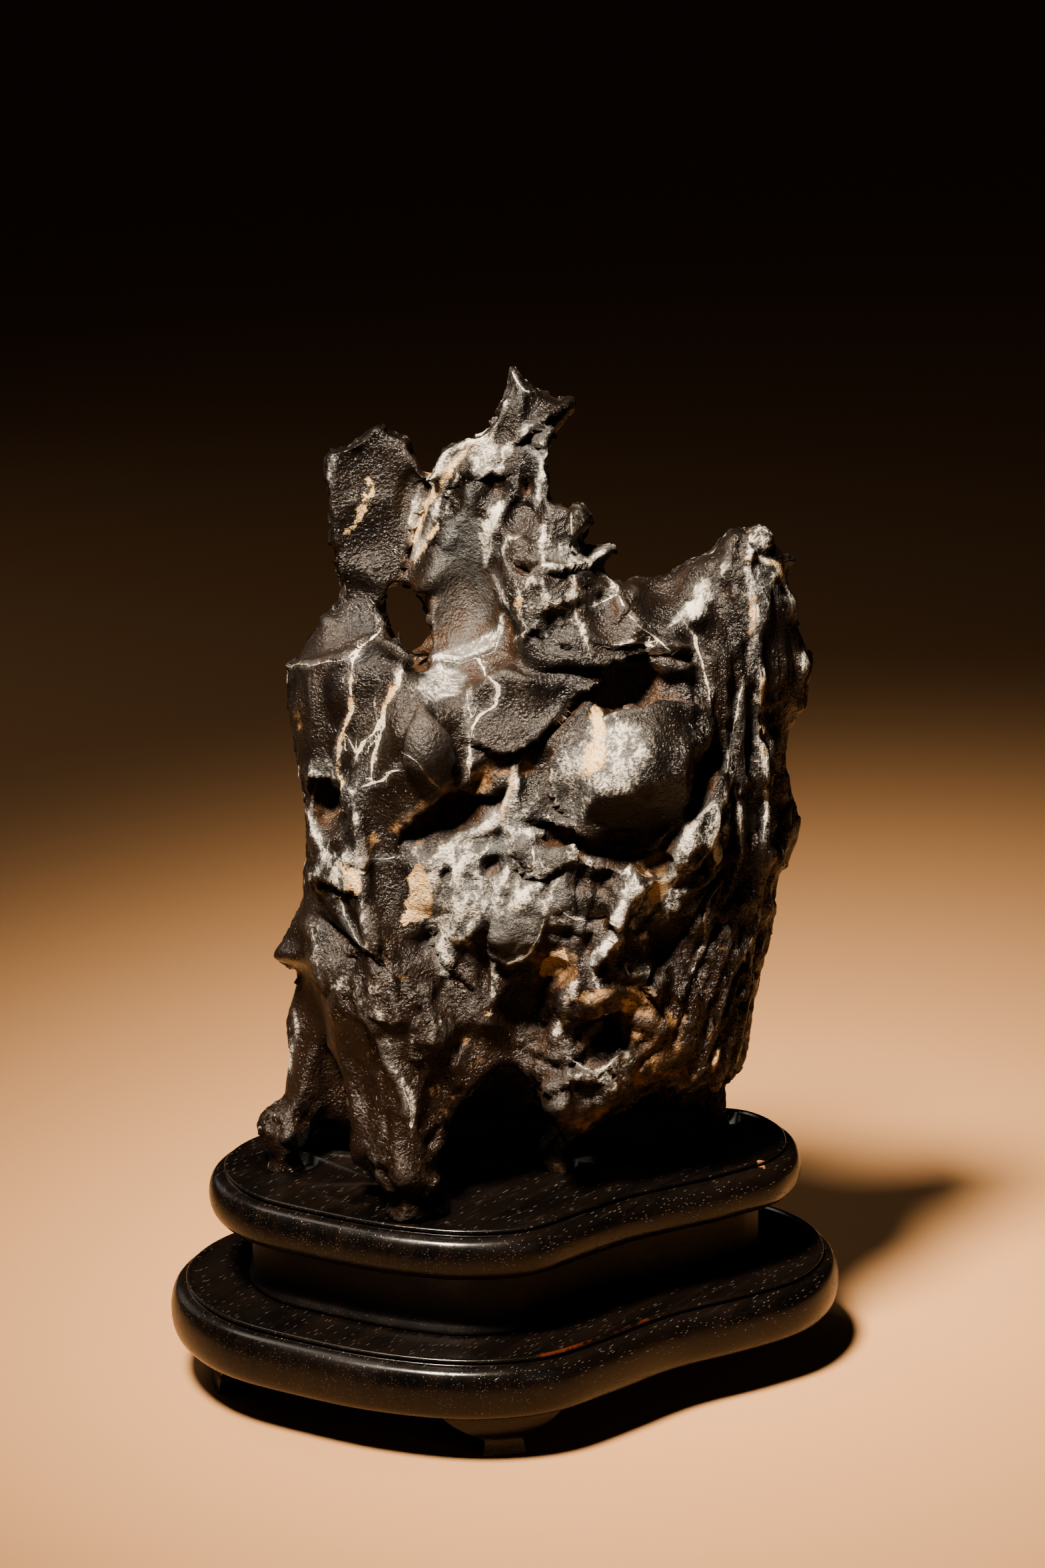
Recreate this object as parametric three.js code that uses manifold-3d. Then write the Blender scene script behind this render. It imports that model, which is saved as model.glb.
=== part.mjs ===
// A lingbi scholar's stone on its fitted hardwood stand.
// Millimetres, +Z up, the front faces -Y, and the origin is on the floor under the middle of the stand.

import * as THREE from 'three';
import Module from 'manifold-3d';
import { MarchingCubes } from 'three/addons/objects/MarchingCubes.js';
import { LoftGeometry } from 'three/addons/geometries/LoftGeometry.js';
import { ImprovedNoise } from 'three/addons/math/ImprovedNoise.js';
import { mergeVertices } from 'three/addons/utils/BufferGeometryUtils.js';

// Driving dimensions
const GAP = 0.3;
const FOOT_HEIGHT = 11;
const LOWER_THICKNESS = 15;
const WAIST_HEIGHT = 15;
const UPPER_THICKNESS = 12.5;
const BULLNOSE = 3.6;
const UPPER_INSET = 9.5;
const WAIST_INSET = 15.5;
const RECESS = 0.6;
const CROWN = 0.05;
const SOCKET_DEPTH = 2.4;
const CELL = 5.1;
const GRID_SIZE = 46;

// Heights of the tiers, worked up from the floor
const LOWER_BOTTOM = FOOT_HEIGHT + GAP;
const LOWER_TOP = LOWER_BOTTOM + LOWER_THICKNESS;
const WAIST_BOTTOM = LOWER_TOP - RECESS + GAP;
const UPPER_BOTTOM = LOWER_TOP + WAIST_HEIGHT;
const UPPER_TOP = UPPER_BOTTOM + UPPER_THICKNESS;
const SOCKET_FLOOR = UPPER_TOP - RECESS - SOCKET_DEPTH;
const STONE_BOTTOM = SOCKET_FLOOR + GAP;

// Finishes
const limestone = new THREE.MeshStandardMaterial({ color: 0x1c1a19, roughness: 0.45, metalness: 0 });
const lacquered = new THREE.MeshStandardMaterial({ color: 0x120d0a, roughness: 0.32, metalness: 0 });
const recessed = new THREE.MeshStandardMaterial({ color: 0x1d1210, roughness: 0.5, metalness: 0 });

const wasm = await Module();
wasm.setup();

// A geometry as a solid that can be joined or cut, and back
function solidOf(geometry) {
  const bare = new THREE.BufferGeometry();
  bare.setAttribute('position', geometry.attributes.position);
  bare.setIndex(geometry.index);
  const merged = mergeVertices(bare, 1e-3);
  return new wasm.Manifold(new wasm.Mesh({
    numProp: 3,
    vertProperties: new Float32Array(merged.attributes.position.array),
    triVerts: new Uint32Array(merged.index.array),
  }));
}

function geometryOf(solid) {
  const mesh = solid.getMesh();
  const geometry = new THREE.BufferGeometry();
  geometry.setAttribute('position', new THREE.BufferAttribute(mesh.vertProperties, 3));
  geometry.setIndex(new THREE.BufferAttribute(mesh.triVerts, 1));
  geometry.computeVertexNormals();
  return geometry;
}

// The stand's plan is a bent kidney: a left lobe, a front corner, a right lobe set back, and a
// hollow side between the last two. These points run counterclockwise along the raised bead.
const PLAN_POINTS = [
  [-9, -49], [8, -46], [24, -34.5], [41, -21], [57, -9.5], [69.5, 1.5], [75.5, 16], [73.5, 33],
  [63, 46.5], [45, 51], [22, 48.5], [-4, 44], [-30, 42.5], [-53, 38], [-68.5, 25], [-75.5, 8.5],
  [-74, -8], [-64.5, -24], [-47, -36], [-28, -45],
];
const PLAN_STEPS = 50;

const planCurve = new THREE.CatmullRomCurve3(
  PLAN_POINTS.map(([x, y]) => new THREE.Vector3(x, y, 0)), true, 'centripetal');

// The plan's bounding box is centred on the origin, so the point list may be slightly off it
const planBox = new THREE.Box3().setFromPoints(planCurve.getSpacedPoints(400));
const planCentre = planBox.getCenter(new THREE.Vector3());

// A point of the plan at fraction t of its length, moved outwards by offset
function planPoint(t, offset, z) {
  const turn = ((t % 1) + 1) % 1;
  const tangent = planCurve.getTangentAt(turn);
  const outward = new THREE.Vector3(tangent.y, -tangent.x, 0).normalize();
  return planCurve.getPointAt(turn).sub(planCentre).addScaledVector(outward, offset).setZ(z);
}

function planRing(offset, z) {
  return Array.from({ length: PLAN_STEPS }, (_, i) => planPoint(i / PLAN_STEPS, offset, z));
}

// One tier: an underside lip, a bullnose edge, a fine raised bead, and inside it a flat top that
// stands RECESS lower, all but for a hair of crown
function boardGeometry(bottom, thickness, inset) {
  const top = bottom + thickness;
  const profile = [
    [-2.4, bottom], [-0.2, bottom + 0.5], [2.2, bottom + 2], [BULLNOSE, bottom + thickness * 0.45],
    [3.1, top - 3.2], [1.1, top - 0.9], [0, top], [-0.9, top - 0.1], [-1.5, top - RECESS - CROWN],
    [-9, top - RECESS],
  ];
  const rings = profile.map(([offset, z]) => planRing(offset - inset, z));
  return new LoftGeometry(rings, { capStart: true, capEnd: true });
}

// The wall between the tiers, set well back under the upper one
function waistGeometry() {
  const rings = [
    planRing(0.6 - WAIST_INSET, WAIST_BOTTOM),
    planRing(-WAIST_INSET, WAIST_BOTTOM + 2),
    planRing(-WAIST_INSET, UPPER_BOTTOM - GAP),
  ];
  return new LoftGeometry(rings, { capStart: true, capEnd: true });
}

// A bracket foot follows the rim: wide under the board, drawn in by a hollow curve to a small block.
// Each row is [height, half width along the rim, how far the outer face stands in from the bead].
const FOOT_PROFILE = [
  [0, 6, 5.2], [3.4, 5.3, 6], [4.4, 6.6, 5.6], [6, 10, 4.6], [8, 13.5, 3.8], [10, 15.5, 3],
  [FOOT_HEIGHT, 15.5, 3],
];
const FOOT_THICKNESS = 8;
const FOOT_COLUMNS = 5;

function footGeometry(place) {
  const rimLength = planCurve.getLength();
  const rings = FOOT_PROFILE.map(([z, halfWidth, inset]) => {
    const outer = [];
    const inner = [];
    for (let i = 0; i < FOOT_COLUMNS; i++) {
      const along = (i / (FOOT_COLUMNS - 1) * 2 - 1) * halfWidth / rimLength;
      outer.push(planPoint(place + along, -inset, z));
      inner.unshift(planPoint(place + along * 0.9, -inset - FOOT_THICKNESS, z));
    }
    return [...outer, ...inner];
  });
  return new LoftGeometry(rings, { capStart: true, capEnd: true });
}

// The stone is described by a field: the distance to its surface, negative inside.
// The forms below are joined and hollowed by smooth minimum and maximum.
const smoothMin = (a, b, k) => Math.min(a, b) - Math.max(k - Math.abs(a - b), 0) ** 2 / (4 * k);
const smoothMax = (a, b, k) => -smoothMin(-a, -b, k);

// A line of sight falls by this much for each millimetre to the back. Slabs are cut along it, so
// that each outline is the one seen from the front and a little above.
const SIGHT_FALL = Math.tan(THREE.MathUtils.degToRad(16));

function outlineDistance(outline, x, z) {
  let nearest = Infinity;
  let inside = false;
  for (let i = 0, j = outline.length - 1; i < outline.length; j = i++) {
    const [ax, az] = outline[j];
    const [bx, bz] = outline[i];
    const ex = bx - ax;
    const ez = bz - az;
    const along = THREE.MathUtils.clamp(((x - ax) * ex + (z - az) * ez) / (ex * ex + ez * ez), 0, 1);
    nearest = Math.min(nearest, Math.hypot(x - ax - along * ex, z - az - along * ez));
    if ((az > z) !== (bz > z) && x < ax + (z - az) / (bz - az) * ex) inside = !inside;
  }
  return inside ? -nearest : nearest;
}

// A value read off a row of [position, value] stations by straight lines between them
function along(stations, at) {
  if (at <= stations[0][0]) return stations[0][1];
  for (let i = 1; i < stations.length; i++) {
    const [a, va] = stations[i - 1];
    const [b, vb] = stations[i];
    if (at <= b) return va + (vb - va) * (at - a) / (b - a);
  }
  return stations[stations.length - 1][1];
}

// A slab has an outline seen from the front, with front and back faces that follow stations across
// it. Stations up it push the front and the back face on towards the back.
const STRAIGHT = [[0, 0]];

function slab({ outline, plane, front, back, frontLean = STRAIGHT, backLean = STRAIGHT, round }) {
  return (x, y, z) => {
    const rim = outlineDistance(outline, x, z + (y - plane) * SIGHT_FALL);
    const toFront = along(front, x) + along(frontLean, z) - y;
    const toBack = y - along(back, x) - along(backLean, z);
    return smoothMax(rim, Math.max(toFront, toBack), round);
  };
}

function ellipsoid(centre, radii) {
  return (x, y, z) => {
    const px = (x - centre[0]) / radii[0];
    const py = (y - centre[1]) / radii[1];
    const pz = (z - centre[2]) / radii[2];
    const reach = Math.hypot(px, py, pz);
    const slope = Math.hypot(px / radii[0], py / radii[1], pz / radii[2]);
    return slope < 1e-6 ? -Math.min(...radii) : reach * (reach - 1) / slope;
  };
}

// A limb is a chain of balls [x, y, z, radius] with straight flanks between them
function limb(...balls) {
  return (x, y, z) => {
    let nearest = Infinity;
    for (let i = 1; i < balls.length; i++) {
      const [ax, ay, az, ar] = balls[i - 1];
      const [bx, by, bz, br] = balls[i];
      const e = [bx - ax, by - ay, bz - az];
      const p = [x - ax, y - ay, z - az];
      const reach = (p[0] * e[0] + p[1] * e[1] + p[2] * e[2]) / (e[0] ** 2 + e[1] ** 2 + e[2] ** 2);
      const at = THREE.MathUtils.clamp(reach, 0, 1);
      const off = Math.hypot(p[0] - at * e[0], p[1] - at * e[1], p[2] - at * e[2]);
      nearest = Math.min(nearest, off - ar - at * (br - ar));
    }
    return nearest;
  };
}

// The trunk, from the ledge down to the arch and the hem, with its lower left spike
const TRUNK = slab({
  outline: [
    [-50, 175], [-40, 177], [-33, 178], [-18, 177], [0, 182], [15, 186], [27, 190], [45, 190], [58, 180],
    [70, 172], [69, 164], [65, 158], [65, 147], [68, 137], [66, 130], [62, 120], [62, 111], [59, 98],
    [57, 84], [55, 75], [51, 73], [41, 72], [32, 72], [26, 66], [16, 60], [11, 62], [6, 75], [2, 79],
    [-2, 78], [-10, 72], [-14, 78], [-28, 82], [-40, 86], [-42, 93], [-46, 99], [-55, 104], [-48, 118],
    [-47, 133], [-48, 152], [-50, 168],
  ],
  plane: 4,
  front: [[-54, 2], [-44, -14], [-26, -24], [0, -25], [24, -24], [42, -17], [56, -3], [68, 12]],
  back: [[-54, 12], [-38, 22], [-10, 30], [25, 34], [52, 36], [68, 26]],
  frontLean: [[60, 2], [110, 0], [150, 0], [178, 3], [195, 12]],
  backLean: [[60, -4], [100, 0], [150, 0], [180, -3]],
  round: 9,
});

// The flat fin at the upper left
const FIN = slab({
  outline: [
    [-41, 216], [-42, 221], [-40, 224], [-34, 226], [-29, 230], [-22, 226], [-18, 217], [-17, 209],
    [-20, 199], [-24, 192], [-27, 187], [-28, 181], [-24, 175], [-20, 168], [-50, 168], [-49, 175],
    [-44, 181], [-39, 188], [-39, 195], [-41, 203], [-41, 209],
  ],
  plane: 12,
  front: [[-50, 8], [-40, 5], [-18, 8]],
  back: [[-50, 18], [-40, 20], [-18, 21]],
  frontLean: [[168, -10], [180, -3], [192, 0]],
  round: 5,
});

// The ridge in the middle and the peak on it
const RIDGE = slab({
  outline: [
    [-19, 172], [-19, 190], [-20, 200], [-19, 211], [-19, 222], [-14, 230], [-6, 232], [-4, 235],
    [-1, 239], [1, 246], [4, 242], [11, 237], [16, 238], [17, 235], [12, 229], [10, 223], [11, 213],
    [17, 213], [20, 210], [19, 205], [25, 203], [23, 197], [28, 190], [30, 172],
  ],
  plane: 5,
  front: [[-20, 0], [-8, -14], [8, -16], [20, -10], [28, -4]],
  back: [[-20, 20], [0, 24], [28, 24]],
  frontLean: [[172, 0], [196, 2], [214, 9], [230, 13], [245, 15]],
  backLean: [[180, 2], [205, -3], [225, 0], [245, 4]],
  round: 7,
});

// The horn at the upper right
const HORN = slab({
  outline: [
    [28, 194], [36, 195], [45, 199], [52, 206], [58, 206], [62, 202], [66, 198], [65, 192], [68, 183],
    [71, 173], [66, 162], [40, 162], [24, 180],
  ],
  plane: 10,
  front: [[24, 2], [40, -4], [52, -6], [62, 2], [70, 12]],
  back: [[24, 20], [45, 30], [60, 30], [70, 24]],
  frontLean: [[165, -2], [185, 2], [205, 8]],
  backLean: [[170, 0], [205, -4]],
  round: 8,
});

// The front leg, which carries the stone at its lower left corner
const FRONT_LEG = slab({
  outline: [
    [-42, 98], [-36, 104], [-18, 106], [-9, 88], [-11, 78], [-14, 68], [-15, 60], [-14, 54], [-16, 45],
    [-27, 45], [-29, 54], [-36, 61], [-37, 69], [-36, 76], [-38, 88],
  ],
  plane: -20,
  front: [[-40, -18], [-24, -32], [-12, -26]],
  back: [[-40, -6], [-24, -6], [-12, -10]],
  frontLean: [[50, 0], [70, -1], [100, 4]],
  backLean: [[46, -15], [62, -11], [78, -2], [100, 4]],
  round: 6,
});

const LIMBS = [
  limb([-40, 14, 112, 9], [-46, 9, 90, 6.5], [-48, 8, 74, 7], [-51, 5, 62, 7.5], [-53, 3, 47, 3]),
  limb([-34, 22, 112, 10], [-40, 20, 78, 7], [-41, 17, 62, 4]),
  limb([12, 14, 84, 11], [11, 6, 66, 4.5], [12, 1, 47, 2.4]),
  limb([42, 22, 92, 12], [49, 31, 72, 5], [52, 34, 47, 2.8]),
];

// Bosses stand proud of the faces: the boulder, the pebble, the crags under the peak and the knuckles
const BOSSES = [
  { form: ellipsoid([25, -13, 157], [20, 17, 17]), blend: 2 },
  { form: ellipsoid([-19, -22, 163], [8, 6.5, 10.5]), blend: 2 },
  { form: ellipsoid([38, -12, 178], [7, 6, 4]), blend: 3 },
  { form: limb([-22, 24, 158, 5], [-14, 30, 134, 7], [-24, 25, 100, 5]), blend: 12 },
  { form: limb([20, 28, 186, 5], [14, 34, 146, 6], [30, 33, 98, 6]), blend: 12 },
  { form: limb([56, 27, 176, 5], [50, 34, 140, 6], [52, 30, 96, 5]), blend: 12 },
  { form: ellipsoid([8, -22, 127], [14, 8, 12]), blend: 7 },
  { form: ellipsoid([18, -22, 108], [8, 8, 10]), blend: 6 },
  { form: limb([46, -12, 152, 4], [42, -18, 138, 4.5], [30, -24, 132, 4], [22, -25, 122, 4]), blend: 3 },
  { form: limb([-34, -17, 152, 3], [-33, -22, 126, 4], [-26, -27, 104, 5]), blend: 5 },
  { form: ellipsoid([10, -13, 194], [9, 6, 10]), blend: 4 },
  { form: limb([17, 2, 202, 4], [25, 3, 203, 1.5]), blend: 3 },
  { form: limb([-50, 4, 106, 4], [-57, 2, 103.5, 1.5]), blend: 5 },
  { form: ellipsoid([17, -14, 82], [9, 8, 12]), blend: 5 },
];

// Hollows are cut in order: the window and the bowl in front of it, then the recesses down the face
const HOLLOWS = [
  { form: limb([-12, -12, 216, 6], [-11, -14, 201, 9], [-10, -14, 187, 13]), blend: 5 },
  { form: limb([-22, -10, 182, 7], [-23, 30, 177, 6]), blend: 3 },
  { form: ellipsoid([-3, -38, 172], [24, 15, 14]), blend: 3 },
  { form: ellipsoid([28, -32, 172], [22, 20, 13]), blend: 3 },
  { form: limb([-21, -30, 140, 7.5], [-11, -26, 147, 7.5], [0, -30, 151, 5.5]), blend: 3 },
  { form: ellipsoid([-42, -18, 148], [8, 9, 7]), blend: 3 },
  { form: limb([10, -30, 141, 4.5], [26, -32, 135, 4.5], [40, -28, 139, 4.5]), blend: 2 },
  { form: ellipsoid([20, -26, 96], [8, 14, 8.5]), blend: 3 },
  { form: ellipsoid([10, -28, 110], [6, 10, 5.5]), blend: 3 },
  { form: ellipsoid([4, -26, 95], [6, 12, 11]), blend: 4 },
  { form: limb([48, -24, 172, 5], [50, -20, 130, 4], [46, -18, 100, 4]), blend: 4 },
  { form: ellipsoid([38, -16, 184], [9, 12, 8]), blend: 3 },
  { form: ellipsoid([4, 46, 154], [13, 22, 24]), blend: 6 },
  { form: ellipsoid([36, 50, 120], [15, 24, 24]), blend: 6 },
  { form: ellipsoid([-34, 38, 128], [11, 20, 18]), blend: 6 },
  { form: ellipsoid([2, 40, 106], [14, 18, 16]), blend: 6 },
  { form: ellipsoid([38, 44, 172], [11, 18, 12]), blend: 6 },
  { form: ellipsoid([6, 36, 200], [12, 14, 12]), blend: 5 },
];

const noise = new ImprovedNoise();

// Weathering: broad swells and smaller scallops over the whole surface
function weathering(x, y, z) {
  const broad = noise.noise(x / 17, y / 17 + 3.7, z / 21);
  const fine = noise.noise(x / 7.5 + 9.1, y / 7.5, z / 9);
  return 2.6 * broad + 1.1 * fine;
}

function stoneField(x, y, z) {
  let field = smoothMin(TRUNK(x, y, z), FRONT_LEG(x, y, z), 7);
  field = smoothMin(field, FIN(x, y, z), 3);
  field = smoothMin(field, RIDGE(x, y, z), 4);
  field = smoothMin(field, HORN(x, y, z), 5);
  for (const form of LIMBS) field = smoothMin(field, form(x, y, z), 8);
  for (const { form, blend } of HOLLOWS) field = smoothMax(field, -form(x, y, z), blend);
  for (const { form, blend } of BOSSES) field = smoothMin(field, form(x, y, z), blend);
  return field + weathering(x, y, z);
}

// The grid of cubes that the field is read on
const HALF_GRID = GRID_SIZE * CELL / 2;
const GRID_CENTRE = new THREE.Vector3(6, 4, 147);

// Keeps only what hangs together with the seed, and fills any sealed bubble
function keepOnePiece(field, seed) {
  const size = GRID_SIZE;
  const steps = [1, -1, size, -size, size * size, -size * size];
  const flood = (start, test) => {
    const reached = new Uint8Array(field.length);
    const stack = [start];
    reached[start] = 1;
    while (stack.length) {
      const at = stack.pop();
      for (const step of steps) {
        const next = at + step;
        if (next < 0 || next >= field.length || reached[next] || !test(field[next])) continue;
        reached[next] = 1;
        stack.push(next);
      }
    }
    return reached;
  };
  const body = flood(seed, (value) => value > 0);
  const air = flood(0, (value) => value <= 0);
  const least = CELL * 0.1;
  for (let i = 0; i < field.length; i++) {
    if (field[i] > 0 && !body[i]) field[i] = -least;
    if (field[i] <= 0 && !air[i]) field[i] = least;
    if (Math.abs(field[i]) < least) field[i] = field[i] > 0 ? least : -least;
  }
}

function stoneGeometry() {
  const cubes = new MarchingCubes(GRID_SIZE, limestone, false, false, 30000);
  cubes.isolation = 0;
  const place = (i) => (i - GRID_SIZE / 2) * CELL;
  for (let k = 0, q = 0; k < GRID_SIZE; k++) {
    for (let j = 0; j < GRID_SIZE; j++) {
      for (let i = 0; i < GRID_SIZE; i++, q++) {
        const x = GRID_CENTRE.x + place(i);
        const y = GRID_CENTRE.y + place(j);
        const z = GRID_CENTRE.z + place(k);
        cubes.field[q] = -stoneField(x, y, z);
      }
    }
  }
  const middle = GRID_SIZE / 2;
  keepOnePiece(cubes.field, middle + middle * GRID_SIZE + middle * GRID_SIZE ** 2);
  cubes.update();
  const faceted = new THREE.BufferGeometry();
  const positions = cubes.positionArray.slice(0, cubes.count * 3);
  faceted.setAttribute('position', new THREE.BufferAttribute(positions, 3));
  faceted.scale(HALF_GRID, HALF_GRID, HALF_GRID);
  faceted.translate(GRID_CENTRE.x, GRID_CENTRE.y, GRID_CENTRE.z);

  // The feet are ground flat where they sit in their sockets
  const above = new THREE.BoxGeometry(400, 400, 400).translate(0, 0, STONE_BOTTOM + 200);
  return geometryOf(solidOf(faceted).intersect(solidOf(above)));
}

// The upper board has a shallow carved socket under each of the stone's feet: [x, y, radius]
const SOCKETS = [[-22, -25.5, 9.6], [-52, 4.3, 7.4], [11.5, 3.3, 5.2], [51.3, 33.4, 5.4]];

function upperBoardGeometry() {
  let board = solidOf(boardGeometry(UPPER_BOTTOM, UPPER_THICKNESS, UPPER_INSET));
  for (const [x, y, radius] of SOCKETS) {
    const cutter = new THREE.CylinderGeometry(radius, radius * 0.92, SOCKET_DEPTH + 4, 14)
      .rotateX(Math.PI / 2)
      .translate(x, y, SOCKET_FLOOR + SOCKET_DEPTH / 2 + 2);
    board = board.subtract(solidOf(cutter));
  }
  return geometryOf(board);
}

function named(name, geometry, material) {
  const mesh = new THREE.Mesh(geometry, material);
  mesh.name = name;
  return mesh;
}

const object = new THREE.Group();
object.add(named('stone', stoneGeometry(), limestone));
object.add(named('stand_upper_board', upperBoardGeometry(), lacquered));
object.add(named('stand_waist', waistGeometry(), recessed));
object.add(named('stand_lower_board', boardGeometry(LOWER_BOTTOM, LOWER_THICKNESS, 0), lacquered));

// Where along the rim each foot stands, as a fraction of its length from the front corner
const FEET = { foot_front: 0.024, foot_right: 0.36, foot_back: 0.62, foot_left: 0.79 };
for (const [name, place] of Object.entries(FEET)) {
  object.add(named(name, footGeometry(place), lacquered));
}

export default object;
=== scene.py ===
# %% [markdown]
# # A scholar's stone on its fitted stand
#
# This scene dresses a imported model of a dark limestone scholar's stone and its two-tier hardwood
# stand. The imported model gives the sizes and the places. Here the stone gets its fine relief, its
# white veins and its crusts, and the stand gets smooth mouldings and open-pored wood.
# Everything is in metres, with Z up and the front of the stone facing -Y.

import math

import bmesh
import bpy
import numpy as np
from mathutils import Matrix, Vector, noise
from mathutils.bvhtree import BVHTree
from mathutils.kdtree import KDTree


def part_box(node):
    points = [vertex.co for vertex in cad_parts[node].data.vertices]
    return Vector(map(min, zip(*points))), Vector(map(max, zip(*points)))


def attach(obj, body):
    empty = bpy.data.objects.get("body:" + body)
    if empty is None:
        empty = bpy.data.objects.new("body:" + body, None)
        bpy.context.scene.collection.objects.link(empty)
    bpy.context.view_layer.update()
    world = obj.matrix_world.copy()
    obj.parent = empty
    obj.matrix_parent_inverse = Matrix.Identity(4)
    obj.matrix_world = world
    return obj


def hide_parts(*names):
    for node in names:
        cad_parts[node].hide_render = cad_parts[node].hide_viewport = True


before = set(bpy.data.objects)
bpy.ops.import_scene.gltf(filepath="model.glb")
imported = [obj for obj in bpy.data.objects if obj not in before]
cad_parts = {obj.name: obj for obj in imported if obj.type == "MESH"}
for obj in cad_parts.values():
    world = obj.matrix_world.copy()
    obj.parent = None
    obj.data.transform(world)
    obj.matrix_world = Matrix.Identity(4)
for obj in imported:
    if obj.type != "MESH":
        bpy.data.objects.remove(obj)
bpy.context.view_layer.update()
MM = 0.001
# Without a seed of its own, noise.noise_vector gives other directions in each run.
SEED = 3
noise.seed_set(SEED)

# %% [markdown]
# ## The camera
#
# The photograph was taken with a long lens from a little above the stone. A long lens flattens the
# view, so the same pitch and distance are needed before any outline can agree. A camera could be
# set by eye, but here the numbers were found by lining up the stand, whose two boards are parallel
# and level.

# %% The camera
LENS = 100.0
SENSOR = 36.0
PHOTO_WIDTH = 1568
PHOTO_HEIGHT = 2352
PITCH = math.radians(16)
TARGET = Vector((0.0036, -0.017, 0.152))
DISTANCE = 0.98

camera_data = bpy.data.cameras.new("camera")
camera_data.lens = LENS
camera_data.sensor_width = SENSOR
camera_data.clip_start = 0.05
camera = bpy.data.objects.new("camera", camera_data)
bpy.context.scene.collection.objects.link(camera)
toward = Vector((0, math.cos(PITCH), -math.sin(PITCH)))
camera.location = TARGET - toward * DISTANCE
camera.rotation_euler = (math.pi / 2 - PITCH, 0, 0)
bpy.context.scene.camera = camera
print("the camera is", DISTANCE, "m from the point", [round(x / MM, 1) for x in TARGET], "mm")

# %% [markdown]
# ## From the photograph to the stone
#
# Each ledge, pit and vein of the front is placed by where it is in the photograph. So every vertex
# of the stone gets a place in the picture, in pixels of the full frame, and its depth. Places given
# in millimetres would do the same, but they would be harder to compare with the photograph.

# %% Where a point falls in the picture
EYE = np.array(camera.location)
AHEAD = np.array(toward)
ACROSS = np.array([1.0, 0, 0])
UPWARD = np.cross(ACROSS, AHEAD)
PIXELS = LENS / SENSOR * PHOTO_HEIGHT
MM_PER_PIXEL = DISTANCE / PIXELS / MM


def in_picture(points):
    """Pixel columns x and y of points, and how far each is from the camera along its axis."""
    rel = points - EYE
    depth = rel @ AHEAD
    x = PHOTO_WIDTH / 2 + PIXELS * (rel @ ACROSS) / depth
    y = PHOTO_HEIGHT / 2 - PIXELS * (rel @ UPWARD) / depth
    return np.stack([x, y], 1), depth


print("one pixel is", round(MM_PER_PIXEL, 3), "mm at the stone")

# %% [markdown]
# ## The block of stone
#
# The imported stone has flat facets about 5 mm wide. A voxel remesh gives it an even skin of small
# quads, and a relaxing step that alternates between shrinking and swelling takes the facets away
# without thinning the peaks. The work is done on arrays, which is quick for many vertices. After
# the deep carving the skin is remeshed once more, because pressed places have stretched quads.

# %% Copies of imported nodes
SAME_PLACE = 0.001 * MM


def merged_copy(node):
    """A mesh of its own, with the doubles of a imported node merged."""
    bm = bmesh.new()
    bm.from_mesh(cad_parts[node].data)
    bmesh.ops.remove_doubles(bm, verts=bm.verts, dist=SAME_PLACE)
    mesh = bpy.data.meshes.new(node + "_copy")
    bm.to_mesh(mesh)
    bm.free()
    return mesh


def applied(obj):
    """The object's mesh with its modifiers applied."""
    graph = bpy.context.evaluated_depsgraph_get()
    made = bpy.data.meshes.new_from_object(obj.evaluated_get(graph))
    obj.modifiers.clear()
    obj.data = made
    return made


def new_piece(name, mesh):
    obj = bpy.data.objects.new(name, mesh)
    bpy.context.scene.collection.objects.link(obj)
    return obj

# %% A skin that can be read, relaxed and moved
SHRINK = 0.55
SWELL = -0.52
NEAR_ENOUGH = 1.2 * MM
GRAZING = (0.05, 0.35)
WIDE_DRIFT = (2.6, 11)
FINE_DRIFT = (0.9, 4)
DRIFT_OFFSETS = (11.0, 27.0, 43.0)


def smooth_step(value, low, high):
    t = np.clip((value - low) / (high - low), 0, 1)
    return t * t * (3 - 2 * t)


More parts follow.
